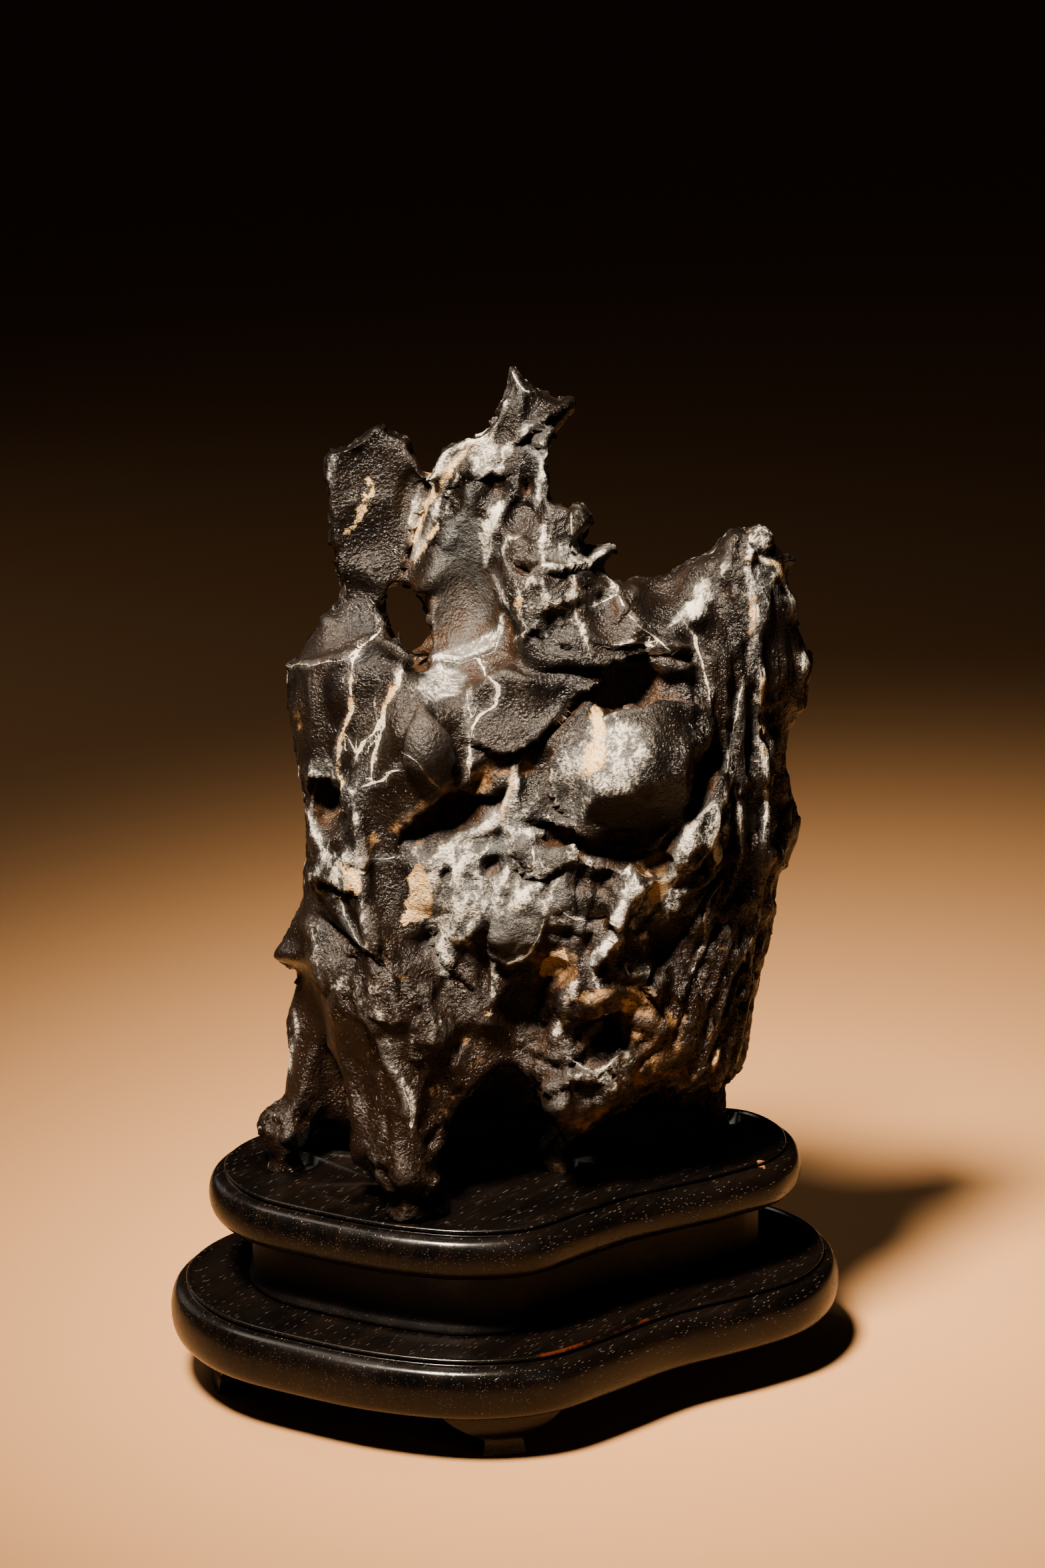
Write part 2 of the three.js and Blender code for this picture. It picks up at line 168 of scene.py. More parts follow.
class Skin:
    """The stone's surface as arrays: the places of its vertices, and which are neighbours."""

    def __init__(self, obj, voxel):
        self.obj = obj
        self.remesh(voxel)

    def remesh(self, voxel):
        even = self.obj.modifiers.new("skin", "REMESH")
        even.mode = "VOXEL"
        even.voxel_size = voxel
        self.mesh = applied(self.obj)
        self.count = len(self.mesh.vertices)
        self.place = np.empty(self.count * 3)
        self.mesh.vertices.foreach_get("co", self.place)
        self.place = self.place.reshape(-1, 3)
        ends = np.empty(len(self.mesh.edges) * 2, np.int64)
        self.mesh.edges.foreach_get("vertices", ends)
        self.ends = ends.reshape(-1, 2).T
        self.neighbours = np.bincount(ends, minlength=self.count)
        self.quads = np.array([list(p.vertices) for p in self.mesh.polygons])
        print("the skin has", self.count, "vertices")

    def relaxed(self, values, times, share=0.5):
        """Each value moves by a share of the way to the mean of its neighbours, a number of times."""
        a, b = self.ends
        columns = list(values.reshape(self.count, -1).T)
        for _ in range(times):
            for i, column in enumerate(columns):
                total = np.bincount(a, column[b], self.count) + np.bincount(b, column[a], self.count)
                columns[i] = column + share * (total / self.neighbours - column)
        return np.stack(columns, -1).reshape(values.shape)

    def unfaceted(self, times):
        """Shrinks and swells in turn, which takes out short waves and keeps long ones."""
        for _ in range(times):
            self.place = self.relaxed(self.place, 1, SHRINK)
            self.place = self.relaxed(self.place, 1, SWELL)

    def write(self):
        self.mesh.vertices.foreach_set("co", self.place.ravel())
        self.mesh.update()

    def normals(self, smoothing):
        """Unit normals of the present shape, relaxed so that they ignore the finest relief."""
        self.write()
        found = np.empty(self.count * 3)
        self.mesh.vertex_normals.foreach_get("vector", found)
        found = self.relaxed(found.reshape(-1, 3), smoothing)
        return found / np.linalg.norm(found, axis=1)[:, None]

    def push(self, amount, smoothing=6):
        """Moves the surface outwards by an amount in mm at each vertex."""
        self.place = self.place + self.normals(smoothing) * (amount * MM)[:, None]

    def noise(self, size, offset=0.0, places=None):
        """Smooth noise from about -1 to 1, with features of a size in mm."""
        spots = (self.place if places is None else places) / (size * MM) + offset
        return np.array([noise.noise(spot) for spot in spots.tolist()])

    def scoops(self, size, offset):
        """Hollow in the middle of each scattered cell, 0, and sharp where cells meet, about 0.6."""
        spots = (self.place + self.wander) / (size * MM) + offset
        return np.array([noise.voronoi(spot)[0][0] ** 2 for spot in spots.tolist()])

    def facets(self, size, offset):
        """Scattered cells, each a flat facet with a tilt of its own, in mm for cells of a size in mm."""
        spots = (self.place + self.wander) / (size * MM) + offset
        heights = []
        for spot in spots.tolist():
            middle = noise.voronoi(spot)[1][0]
            heights.append(noise.noise_vector(middle * 5.3).dot(Vector(spot) - middle))
        return np.array(heights) * size

    def drift(self, offset):
        """A slow and a quick noise together, in mm."""
        (wide, wide_size), (fine, fine_size) = WIDE_DRIFT, FINE_DRIFT
        return wide * self.noise(wide_size, offset) + fine * self.noise(fine_size, offset)

    def look(self):
        """Where each vertex is in the picture, which ones the camera sees, and noise to draw by."""
        self.pixels = in_picture(self.place)[0]
        to_eye = EYE - self.place
        to_eye /= np.linalg.norm(to_eye, axis=1)[:, None]
        facing = (self.normals(6) * to_eye).sum(1)
        tree = BVHTree.FromPolygons(self.place.tolist(), self.quads.tolist())
        starts = (self.place + to_eye * NEAR_ENOUGH).tolist()
        ways = to_eye.tolist()
        self.seen = np.zeros(self.count)
        for i in np.nonzero(facing > 0)[0].tolist():
            if tree.ray_cast(starts[i], ways[i])[0] is None:
                self.seen[i] = 1
        self.front = self.relaxed(self.seen * smooth_step(facing, *GRAZING), 3)
        self.shown = self.relaxed(self.seen, 1)
        self.wander = np.stack([self.drift(offset) for offset in DRIFT_OFFSETS], 1) * MM
        self.spots = self.pixels + self.wander[:, :2] / (MM_PER_PIXEL * MM)
        self.wobble = self.noise(9)
        self.ripple = self.noise(4, 9.3)
        print("vertices seen from the front:", int(self.seen.sum()))

# %% [markdown]
# Nothing pale shows through the gap between the rear leg and the front leg, or through the upper
# part of both arches. They are closed at the back by stone in the shade. Balls added to the packed
# block, each with its middle and half sizes in mm, melt into one web with it in the remesh.

# %% The block and the stone in the shade
COARSE_VOXEL = 1.35 * MM
FINE_VOXEL = 0.96 * MM
SHADED_WEB = [((-41, 11, 96), (9, 8, 16)), ((-39, 10, 80), (9, 7, 18)), ((-38, 9, 68), (8, 6, 11.5)),
              *[((x, 5, 76), (8, 7.5, 12.6)) for x in (-18, -11, -4, 3, 9)],
              *[((x, 16, 72), (8, 8, 11.3)) for x in (21, 28, 35, 42, 49)]]

block = merged_copy("stone")
with_web = bmesh.new()
with_web.from_mesh(block)
for middle, half in SHADED_WEB:
    spot = Matrix.LocRotScale(Vector(middle) * MM, None, Vector(half) * MM)
    bmesh.ops.create_icosphere(with_web, subdivisions=3, radius=1, matrix=spot)
with_web.to_mesh(block)
with_web.free()
skin = Skin(new_piece("scholar_stone", block), COARSE_VOXEL)
skin.unfaceted(12)

# %% [markdown]
# ## The outline
#
# The eye knows this stone by its outline, with the flat fin, the notch, the peak with its small ear
# and the broad horn. The line below runs round it clockwise, in pixels, one stretch for each
# feature. The skin is compared with it as two pictures of filled cells. Each point of the outline
# pulls the nearest rim of the skin to itself, and the pull fades away from the rim, as when clay
# is drawn out with the fingers.

# %% The outline in the photograph
OUTLINE = {
    "left shoulder": [
        (430, 994), (441, 989), (449, 980), (464, 951), (475, 941), (480, 922), (496, 913), (505, 897),
        (510, 881), (504, 858), (499, 846), (502, 825), (491, 819), (494, 801)],
    "fin": [
        (492, 766), (491, 737), (484, 718), (483, 699), (485, 686), (496, 673), (524, 667), (543, 653),
        (559, 640), (569, 635), (579, 642), (598, 650), (614, 656), (620, 673), (630, 693), (638, 709)],
    "notch and middle ridge": [
        (642, 713), (655, 693), (665, 673), (677, 665), (697, 659), (719, 651), (732, 642), (744, 622)],
    "peak and ear": [
        (751, 600), (759, 578), (763, 555), (768, 547), (776, 552), (786, 565), (802, 579), (821, 587),
        (837, 597), (846, 592), (859, 592), (867, 603), (862, 619), (850, 632), (837, 648), (826, 667)],
    "under the peak": [
        (824, 696), (826, 721), (827, 747), (830, 756), (846, 756), (853, 763), (856, 756), (867, 752),
        (878, 756), (888, 769), (893, 785), (875, 811), (868, 816)],
    "leaf and saddle": [
        (900, 816), (921, 813), (924, 830), (912, 842), (904, 853), (912, 861), (922, 870), (930, 865),
        (941, 875), (943, 861), (957, 864), (979, 865), (999, 861), (1011, 853), (1027, 842)],
    "horn": [
        (1050, 832), (1065, 826), (1081, 806), (1094, 794), (1107, 789), (1118, 791), (1128, 787),
        (1139, 784), (1152, 791), (1161, 802), (1163, 816), (1171, 821), (1180, 830), (1191, 834),
        (1194, 842), (1185, 853), (1183, 867), (1185, 883), (1195, 896), (1198, 918), (1199, 937)],
    "right flank": [
        (1203, 953), (1211, 969), (1219, 979), (1222, 995), (1219, 1011), (1214, 1023), (1213, 1046),
        (1211, 1065), (1199, 1073), (1191, 1087), (1183, 1103), (1181, 1125), (1180, 1151), (1187, 1173),
        (1190, 1194), (1199, 1220), (1202, 1236), (1198, 1258), (1187, 1284), (1183, 1300), (1172, 1309),
        (1166, 1329), (1164, 1348), (1167, 1367), (1161, 1380), (1159, 1402), (1151, 1431), (1143, 1456),
        (1139, 1482), (1132, 1504), (1129, 1533), (1126, 1558), (1121, 1584), (1113, 1606), (1099, 1622)],
    "hem": [
        (1088, 1627), (1073, 1620), (1057, 1619), (1045, 1628), (1033, 1636), (1016, 1622), (1000, 1627),
        (984, 1628), (968, 1631), (955, 1641), (943, 1650), (920, 1675), (896, 1688), (879, 1702),
        (868, 1709), (850, 1709), (833, 1698), (822, 1681), (814, 1660), (810, 1638), (800, 1617)],
    "arch": [
        (789, 1603), (777, 1588), (763, 1591), (745, 1596), (731, 1607), (717, 1621), (698, 1635),
        (689, 1649), (682, 1670), (675, 1688), (672, 1705), (665, 1723), (661, 1740), (661, 1758)],
    "front leg": [
        (670, 1772), (672, 1789), (668, 1807), (651, 1819), (630, 1830), (615, 1838), (600, 1837),
        (594, 1821), (582, 1807), (577, 1789), (563, 1772), (545, 1756), (526, 1742), (524, 1716),
        (524, 1681), (526, 1645), (523, 1610), (514, 1575), (503, 1540), (489, 1509), (475, 1484)],
    "spike and left flank": [
        (461, 1467), (450, 1460), (433, 1453), (416, 1442), (408, 1435), (414, 1422), (426, 1405),
        (437, 1382), (447, 1362), (453, 1347), (454, 1330), (453, 1307), (458, 1290), (459, 1275),
        (459, 1253), (457, 1230), (457, 1207), (452, 1184), (449, 1166), (443, 1138), (439, 1109),
        (434, 1080), (430, 1052), (429, 1023)],
}
REAR_LEG = [
    (445, 1463), (440, 1491), (433, 1512), (429, 1537), (430, 1554), (433, 1575), (435, 1589), (430, 1607),
    (428, 1631), (423, 1645), (412, 1652), (396, 1661), (384, 1688), (386, 1698), (398, 1716), (402, 1737),
    (409, 1754), (416, 1765), (428, 1758), (440, 1737), (454, 1723), (478, 1690), (540, 1700), (540, 1610),
    (512, 1500), (490, 1470), (458, 1446)]
MIDDLE_FOOT = [
    (805, 1722), (812, 1745), (828, 1775), (850, 1775), (866, 1700), (860, 1672), (834, 1672), (820, 1694)]
RIGHT_FOOT = [(1030, 1600), (1050, 1676), (1060, 1702), (1088, 1702), (1092, 1600)]
FRONT_ARCH_SHADE = [(650, 1680), (690, 1560), (789, 1560), (828, 1680)]
RIGHT_ARCH_SHADE = [(890, 1671), (930, 1600), (1060, 1600), (1070, 1671)]
WINDOW = [
    (585, 881), (591, 879), (617, 884), (630, 900), (638, 922), (644, 944), (641, 970), (634, 986),
    (620, 981), (604, 967), (591, 948), (582, 925), (580, 906)]

# %% Filled cells
CELL = 2.0
GRID_LEFT = 350.0
GRID_TOP = 520.0
GRID_COLUMNS = 450
GRID_ROWS = 680
column_at = GRID_LEFT + (np.arange(GRID_COLUMNS) + 0.5) * CELL
row_at = GRID_TOP + (np.arange(GRID_ROWS) + 0.5) * CELL


def polygon_cells(polygon):
    """The cells whose centre is inside a polygon."""
    inside = np.zeros((GRID_ROWS, GRID_COLUMNS), bool)
    for (ax, ay), (bx, by) in zip(polygon, polygon[1:] + polygon[:1]):
        rows = (ay > row_at) != (by > row_at)
        if rows.any():
            cross = ax + (row_at[rows] - ay) * (bx - ax) / (by - ay)
            inside[rows] ^= column_at[None, :] < cross[:, None]
    return inside


def skin_cells():
    """The cells that the skin covers, from a fan of points on every face."""
    pixels, _ = in_picture(skin.place)
    corners = pixels[skin.quads]
    covered = np.zeros((GRID_ROWS, GRID_COLUMNS), bool)
    for u in np.linspace(0, 1, 5):
        for v in np.linspace(0, 1, 5):
            top = corners[:, 0] * (1 - u) + corners[:, 1] * u
            low = corners[:, 3] * (1 - u) + corners[:, 2] * u
            spot = (top * (1 - v) + low * v - (GRID_LEFT, GRID_TOP)) / CELL
            column = np.clip(spot[:, 0].astype(int), 0, GRID_COLUMNS - 1)
            row = np.clip(spot[:, 1].astype(int), 0, GRID_ROWS - 1)
            covered[row, column] = True
    return covered


def rim_of(cells):
    """Pixel places of the filled cells that have an empty neighbour."""
    inner = cells.copy()
    for axis in (0, 1):
        for step in (1, -1):
            inner &= np.roll(cells, step, axis)
    row, column = np.nonzero(cells & ~inner)
    return np.stack([column_at[column], row_at[row]], 1)


wanted = polygon_cells([p for stretch in OUTLINE.values() for p in stretch])
wanted |= polygon_cells(REAR_LEG) | polygon_cells(MIDDLE_FOOT) | polygon_cells(RIGHT_FOOT)
wanted |= polygon_cells(FRONT_ARCH_SHADE) | polygon_cells(RIGHT_ARCH_SHADE)
wanted &= ~polygon_cells(WINDOW)
print("share of cells that differ before:", round((skin_cells() ^ wanted).sum() / wanted.sum(), 4))

# %% [markdown]
# The pull is a sum of soft bells, one for every third point of the rim, and a small weight that is
# added to all of them lets it fade out away from the rim. The feet stay as they are inside their
# sockets. It starts with a long reach, which moves whole features, and ends with a short one.

# %% Drawing the skin to the outline
FARTHEST_PULL = 34.0
PULL_STEP = 3
LOTS = 40
FADING_WEIGHT = 0.7
SOCKET_TOP = 51.6 * MM
FREE_ABOVE = 55 * MM
COARSE_REACHES = (14, 10, 7)
FINE_REACHES = (8, 6, 5)
LAST_REACHES = (6, 5)


def tree_of(points):
    tree = KDTree(len(points))
    for i, (x, y) in enumerate(points):
        tree.insert((x, y, 0), i)
    tree.balance()
    return tree


def nearest_in(tree, points):
    """For each point, the number of the nearest point of the tree, and how far it is."""
    found = [tree.find((x, y, 0))[1:] for x, y in points.tolist()]
    return np.array([f[0] for f in found]), np.array([f[1] for f in found])


def draw_to_outline(reach):
    """Moves the skin in the picture plane towards the wanted outline, within a reach in pixels."""
    skin_rim = rim_of(skin_cells())
    wanted_rim = rim_of(wanted)
    skin_tree = tree_of(skin_rim)
    start = np.concatenate([skin_rim[nearest_in(skin_tree, wanted_rim)[0]], skin_rim])
    goal = np.concatenate([wanted_rim, wanted_rim[nearest_in(tree_of(wanted_rim), skin_rim)[0]]])
    pull = goal - start
    kept = np.linalg.norm(pull, axis=1) < FARTHEST_PULL
    start, pull = start[kept][::PULL_STEP].astype(np.float32), pull[kept][::PULL_STEP]
    pixels, depth = in_picture(skin.place)
    close = np.nonzero(nearest_in(skin_tree, pixels)[1] < 3 * reach)[0]
    shift = np.zeros((skin.count, 2))
    for lot in np.array_split(close, LOTS):
        x_gap = pixels[lot, 0].astype(np.float32)[:, None] - start[None, :, 0]
        y_gap = pixels[lot, 1].astype(np.float32)[:, None] - start[None, :, 1]
        weight = np.exp((x_gap * x_gap + y_gap * y_gap) / (-2 * reach ** 2))
        shift[lot] = weight @ pull / (weight.sum(1) + FADING_WEIGHT)[:, None]
    shift *= (smooth_step(skin.place[:, 2], SOCKET_TOP, FREE_ABOVE) * depth / PIXELS)[:, None]
    skin.place = skin.place + shift[:, :1] * ACROSS - shift[:, 1:] * UPWARD


for reach in COARSE_REACHES:
    draw_to_outline(reach)
print("share of cells that differ after:", round((skin_cells() ^ wanted).sum() / wanted.sum(), 4))

# %% [markdown]
# ## Deep forms of the front
#
# The deepest places come first, while the skin is coarse: the recess over the boulder, the bowl
# beside the window, the caves and the ring pit. Scoops are ovals that are pressed in, and where two
# overlap the deeper one wins, which leaves the crisp edge that real scoops have. Lumps are the same
# ovals turned outwards. Each is (x, y, half width, half height, turn in degrees, depth in mm), with
# the place and the size in pixels of the photograph.

# %% Deep scoops and swellings
DEEP_SCOOPS = {
    "recess over the boulder": (952, 1030, 90, 34, -27, 7.5),
    "recess, right end": (1022, 1016, 56, 40, 0, 6.0),
    "blue trough": (694, 885, 60, 132, 8, 3.4),
    "saddle panel": (1002, 896, 60, 46, -30, 2.4),
    "shaded V": (1064, 962, 52, 38, -25, 1.6),
    "under the ear": (812, 668, 24, 18, -25, 2.2),
    "left cave": (490, 1216, 27, 44, -5, 4.4),
    "cavity": (672, 1220, 84, 30, -30, 3.2),
    "cavity, right end": (735, 1200, 34, 20, -20, 1.8),
    "under the boulder": (925, 1272, 108, 26, 6, 5.0),
    "ochre gap": (985, 1300, 36, 24, -10, 4.5),
    "beside the boulder": (1056, 1160, 24, 78, 18, 3.6),
    "dark recess": (782, 1510, 44, 52, 10, 0.6),
    "ochre cave": (828, 1462, 40, 28, -20, 1.4),
    "ring pit": (892, 1557, 33, 41, 20, 0.8),
    "dark dale": (1014, 1425, 52, 66, 20, 3.0),
    "leg, right face": (655, 1660, 34, 92, 12, 1.4),
    "arch shoulder": (722, 1568, 44, 42, 0, 1.6),
    "spike side": (500, 1415, 30, 60, -35, 1.8),
    "dark panel": (577, 1275, 34, 106, 0, 0.8),
    "boulder, left cleft": (804, 1155, 20, 62, 14, 3.6),
}
DEEP_LUMPS = {
    "boulder": (947, 1150, 118, 100, -12, 1.6),
    "pebble": (641, 1115, 50, 74, -12, 3.0),
    "left shelf": (514, 1314, 54, 40, 20, 1.0),
    "pale ridge": (1052, 1258, 34, 90, 30, 1.2),
    "tongue": (912, 1400, 34, 62, 20, 0.8),
    "petal": (772, 1405, 46, 42, -20, 1.3),
    "knuckle": (815, 1283, 52, 32, 5, 2.2),
    "flecked boss": (646, 1552, 42, 54, 10, 1.4),
    "tooth": (838, 1650, 32, 50, -10, 2.4),
    "horn tongue": (1140, 915, 26, 76, 0, 2.4),
    "ridge lobe": (702, 755, 17, 40, 5, 1.4),
    "brow": (862, 1282, 92, 18, 14, 2.4),
    "block": (818, 900, 54, 66, 8, 1.2),
    "leg, toe": (606, 1766, 48, 38, 15, 3.2),
    "leg, right side": (652, 1738, 30, 58, 10, 1.6),
}


def oval(x, y, half_width, half_height, turn, ragged=0.25):
    """0 at the middle of a wandering, half six-sided oval in the picture and 1 at its rim."""
    angle = math.radians(turn)
    dx = 0.5 * (skin.pixels[:, 0] + skin.spots[:, 0]) - x
    dy = 0.5 * (skin.pixels[:, 1] + skin.spots[:, 1]) - y
    u = (dx * math.cos(angle) + dy * math.sin(angle)) / half_width
    v = (dy * math.cos(angle) - dx * math.sin(angle)) / half_height
    corner = np.maximum(np.abs(u), 0.5 * np.abs(u) + 0.87 * np.abs(v))
    return (0.5 * (u * u + v * v) + 0.55 * corner ** 2) * (1 + ragged * skin.wobble)


def oval_relief(scooped, swollen):
    """Height in mm of swellings less scoops, where the tallest and the deepest win."""
    down = np.zeros(skin.count)
    up = np.zeros(skin.count)
    for *shape, deep in scooped.values():
        down = np.maximum(down, deep * (1 - oval(*shape)))
    for *shape, high in swollen.values():
        up = np.maximum(up, high * (1 - oval(*shape) ** 0.8))
    return up - down


skin.look()
skin.push(oval_relief(DEEP_SCOOPS, DEEP_LUMPS) * skin.front, smoothing=14)
skin.write()
skin.remesh(FINE_VOXEL)
skin.unfaceted(3)
for reach in FINE_REACHES:
    draw_to_outline(reach)
print("deep forms", len(DEEP_SCOOPS) + len(DEEP_LUMPS))

# %% [markdown]
# ## Weathering on every side
#
# Water has eaten such a stone into shallow scoops that meet in sharp edges. The distance to the
# nearest of many scattered points has that shape, round in the middle of each cell and creased
# where cells meet. The right flank is fluted instead, as rain flutes a limestone cliff, so its
# pattern is drawn out along the height and leans in towards the foot. Folds are the same crests,
# shorter, on the knuckled middle and a few ridges of the front. Most faces of the front were left
# smooth by the water, so the places that are craggy are listed. There the stone has also broken
# along flat facets, each with a tilt of its own.
#
# Sculpting by hand would give such relief too, but not the same one again. The noise has a seed,
# and each place in the two tables is an oval as before, with its strength at the end.

# %% Where the front is folded and craggy
FOLDED = {
    "centre": (705, 1380, 86, 116, 0, 1.0),
    "centre, right": (862, 1350, 56, 62, 0, 0.8),
    "tongue": (912, 1400, 50, 92, 15, 0.8),
    "middle ridge": (690, 765, 56, 92, 25, 0.5),
    "under the peak": (792, 740, 48, 82, 0, 0.5),
    "leg top": (560, 1470, 76, 50, 40, 0.6),
    "pale ridge": (1050, 1270, 50, 84, 30, 0.6),
    "horn": (1120, 890, 70, 90, 0, 0.6),
}
CRAGGY = {
    "middle ridge": (700, 745, 60, 90, 20, 0.4),
    "under the peak": (800, 745, 56, 90, 0, 0.5),
    "block": (835, 900, 60, 70, 0, 0.3),
    "horn top": (1135, 850, 60, 80, 0, 0.6),
    "centre": (765, 1330, 170, 110, 0, 0.4),
    "centre, low": (700, 1440, 90, 80, 0, 0.4),
    "tongue": (920, 1420, 70, 90, 20, 0.6),
    "pale ridge": (1050, 1260, 50, 90, 30, 0.5),
    "pit": (900, 1560, 110, 90, 0, 0.7),
    "flank, low": (1050, 1480, 110, 150, 0, 0.9),
    "flank": (1130, 1150, 60, 200, 0, 0.8),
    "shelf": (510, 1310, 60, 50, 0, 0.5),
    "leg top": (560, 1480, 90, 60, 30, 0.5),
    "leg right": (650, 1620, 50, 120, 0, 0.4),
    "hem": (1000, 1600, 120, 50, 0, 0.8),
    "left cave": (490, 1215, 50, 70, 0, 0.5),
    "tent": (910, 925, 50, 60, 0, 0.3),
    "leg toe": (612, 1765, 64, 74, 0, 0.4),
    "leg face": (560, 1640, 50, 110, 0, 0.25),
    "rear foot": (436, 1690, 46, 60, 0, 0.35),
}

# %% [markdown]
# Where ovals of one table overlap, the strongest one counts. Their rims are ragged, and a skirt,
# where one is asked for, is a weaker and wider oval under each of them.

# %% Scoops, flutes and folds
FLUTE_SIZE = 5.0
FLUTE_LENGTH = 46
FLUTE_LEAN = 0.34
LEAN_BELOW = 128 * MM
FOLD_SIZE = 6.6
FOLD_LENGTH = 20


def soft_paint(ovals, skirt=0.0):
    """The strongest of some soft ovals, each full in its middle and gone a little past its rim."""
    most = np.zeros(skin.count)
    for *shape, amount in ovals.values():
        inside = -oval(*shape, ragged=0.6) * (1 + 0.5 * skin.ripple)
        most = np.maximum(most, amount * smooth_step(inside, -1.6, -0.3))
        most = np.maximum(most, skirt * amount * smooth_step(inside, -3.4, -0.8))
    return most


def ridged(skin_noise):
    """1 along the lines where noise is nought, falling away in a sharp crest."""
    return 1 - 2.6 * np.abs(skin_noise)


skin.look()
swell = skin.noise(24, 2.2)
large = skin.scoops(14, 3.1)
middle = skin.scoops(7.5, 8.4)
chips = skin.facets(8.5, 1.7) + 0.7 * skin.facets(4.6, 6.1)
leaning = skin.place + skin.wander * 0.6
leaning[:, 0] -= FLUTE_LEAN * np.minimum(skin.place[:, 2] - LEAN_BELOW, 0)
leaning[:, 2] *= FLUTE_SIZE / FLUTE_LENGTH
flutes = ridged(skin.noise(FLUTE_SIZE, 0, leaning))
fine_flutes = ridged(skin.noise(FLUTE_SIZE * 0.42, 5.2, leaning))
flowing = skin.place + skin.wander * 0.8
flowing[:, 2] *= FOLD_SIZE / FOLD_LENGTH
folds = ridged(skin.noise(FOLD_SIZE, 2.7, flowing))
fine_folds = ridged(skin.noise(FOLD_SIZE * 0.45, 6.6, flowing))

# %% Where each kind of weathering lies
HALF_SHOWN = (0.2, 0.8)
x, _, z = skin.place.T / MM
behind = 1 - smooth_step(skin.shown, *HALF_SHOWN)
right_side = smooth_step(x, 36, 46) * smooth_step(-z, -188, -168)
low_right = smooth_step(x - 0.35 * (z - 70), 18, 40) * smooth_step(-z, -140, -112)
fluted = np.clip(np.maximum(right_side, low_right) + 0.5 * behind * smooth_step(-z, -165, -120), 0, 1)
craggy = np.maximum(soft_paint(CRAGGY) * (1 - behind), 0.9 * behind)
folded = soft_paint(FOLDED) * (1 - behind)
free = smooth_step(z, SOCKET_TOP / MM, FREE_ABOVE / MM + 4)
print("fluted share", round(float(fluted.mean()), 2), "and craggy share", round(float(craggy.mean()), 2))

# %% The depths of the weathering, in mm
MEAN_SCOOP = 0.28
LARGE_SCOOPS = 3.4
SMALL_SCOOPS = 1.6
BROKEN_FACETS = 0.75
FLUTES = 1.8
FINE_FLUTES = 0.8
FLUTES_DOWN = 0.9
FOLDS = 1.0
FINE_FOLDS = 0.3
FOLDS_DOWN = 0.6

relief = LARGE_SCOOPS * (large - MEAN_SCOOP) * (0.16 + 0.5 * behind)
relief += (SMALL_SCOOPS * (middle - MEAN_SCOOP) + BROKEN_FACETS * chips * (1 + 0.4 * swell)) * craggy
relief *= 1 - 0.6 * fluted
flute_relief = FLUTES * flutes + FINE_FLUTES * fine_flutes - FLUTES_DOWN
relief += fluted * flute_relief * (1 - 0.5 * smooth_step(z, 105, 135))
relief += folded * (FOLDS * folds + FINE_FOLDS * fine_folds - FOLDS_DOWN)
skin.push(relief * free)
print("weathered by", round(float(np.abs(relief * free).mean()), 2), "mm on average")

# %% [markdown]
# ## The smaller forms of the front
#
# The same two kinds of oval, smaller and shallower, make the facets between the ledges and the
# knuckled middle. They are pressed into the fine skin, where their crisp edges hold.

